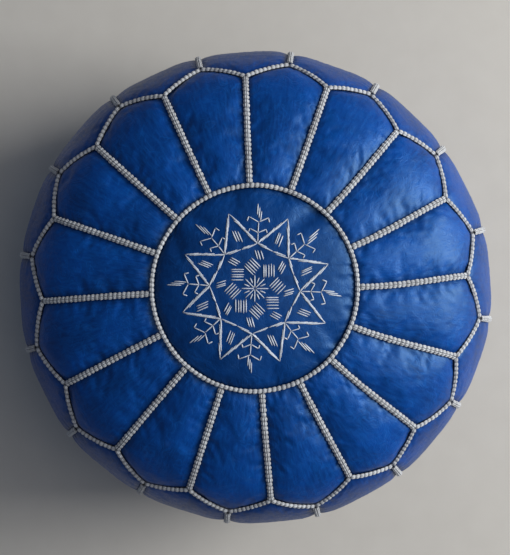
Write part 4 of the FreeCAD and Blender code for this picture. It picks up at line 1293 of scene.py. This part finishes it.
# %% Worn brass for the zip
def worn_brass(name, bright, dull, rough):
    material, tree, shader = new_material(name)
    place = node(tree, "TexCoord", output=3)
    tarnish = node(tree, "TexNoise", Vector=place, Scale=240.0, Detail=5.0)
    mask = span(tree, tarnish, 0.42, 0.62)
    feed(tree, shader.inputs["Base Color"], mix_colour(tree, mask, bright, dull))
    feed(tree, shader.inputs["Roughness"], span(tree, mask, 0.0, 1.0, rough, rough + 0.25))
    scratches = node(tree, "TexNoise", Vector=place, Scale=2600.0, Detail=2.0)
    bump(tree, shader, 0.25, 0.05 * MM, scratches)
    shader.inputs["Metallic"].default_value = 1.0
    return material


BRASS = worn_brass("zip_brass", (0.66, 0.47, 0.20), (0.34, 0.24, 0.12), 0.25)


def dress(cad_node, material):
    """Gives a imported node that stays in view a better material."""
    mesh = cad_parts[cad_node].data
    mesh.materials.clear()
    mesh.materials.append(material)


for cad_node in ("zip_teeth", "zip_slider", "zip_pull"):
    dress(cad_node, BRASS)
dress("zip_tapes", TAPE)
print("zip dressed in", BRASS.name, "and", TAPE.name)

# %% [markdown]
# ## Floor, light and camera
#
# The pouf stands on a plain pale floor, in daylight that comes from a window at the
# right, with soft light from above and from the room. The camera looks almost straight
# down from a standing person's height.


# %% Floor
FLOOR_RADIUS, FLOOR_SIDES = 14, 96
FLOOR_HEIGHT = -0.3 * MM


def floor():
    mesh = bpy.data.meshes.new("floor")
    turns = np.linspace(0, 2 * math.pi, FLOOR_SIDES, endpoint=False)
    rim = [np.cos(turns) * FLOOR_RADIUS, np.sin(turns) * FLOOR_RADIUS, 0 * turns + FLOOR_HEIGHT]
    mesh.from_pydata(np.stack(rim, 1).tolist(), [], [list(range(FLOOR_SIDES))])
    ground = bpy.data.objects.new("floor", mesh)
    SCENE.collection.objects.link(ground)
    material, tree, shader = new_material("floor")
    place = node(tree, "TexCoord", output=3)
    soft = node(tree, "TexNoise", Vector=place, Scale=30.0, Detail=3.0)
    plaster = mix_colour(tree, soft, (0.55, 0.50, 0.43), (0.60, 0.55, 0.475))
    feed(tree, shader.inputs["Base Color"], plaster)
    shader.inputs["Roughness"].default_value = 0.9
    mesh.materials.append(material)


floor()
print(f"floor {2 * FLOOR_RADIUS} m across")


# %% Light
ROOM_GLOW = (0.55, 0.70, 1.0, 1.0)
ROOM_STRENGTH = 0.18


def area_light(name, place, aim, size, watts, colour):
    lamp = bpy.data.lights.new(name, "AREA")
    lamp.shape = "RECTANGLE"
    lamp.size = lamp.size_y = size
    lamp.energy = watts
    lamp.color = colour
    holder = bpy.data.objects.new(name, lamp)
    SCENE.collection.objects.link(holder)
    holder.location = place
    holder.rotation_mode = "QUATERNION"
    holder.rotation_quaternion = (Vector(aim) - Vector(place)).to_track_quat("-Z", "Y")


area_light("window", (2.4, 0.3, 1.5), (0, 0, 0.2), 1.5, 96, (0.92, 0.96, 1.0))
area_light("overhead", (1.0, 0.0, 2.4), (0, 0, 0.1), 1.6, 11, (1.0, 0.97, 0.93))
world = bpy.data.worlds.new("room")
world.use_nodes = True
background = world.node_tree.nodes["Background"]
background.inputs["Color"].default_value = ROOM_GLOW
background.inputs["Strength"].default_value = ROOM_STRENGTH
SCENE.world = world
SCENE.view_settings.view_transform = "Standard"
print("lit by", ", ".join(lamp.name for lamp in bpy.data.lights), "and the room")

# %% Camera
CAMERA_PLACE = (0.001, 0.011, 1.55)
CAMERA_ROLL = math.radians(-3.5)
LENS = 78.8
camera_data = bpy.data.cameras.new("camera")
camera_data.sensor_width = 36
camera_data.lens = LENS
camera = bpy.data.objects.new("camera", camera_data)
SCENE.collection.objects.link(camera)
camera.location = CAMERA_PLACE
camera.rotation_euler = (0, 0, CAMERA_ROLL)
SCENE.camera = camera
print(f"camera {CAMERA_PLACE[2]} m up, {LENS} mm lens")
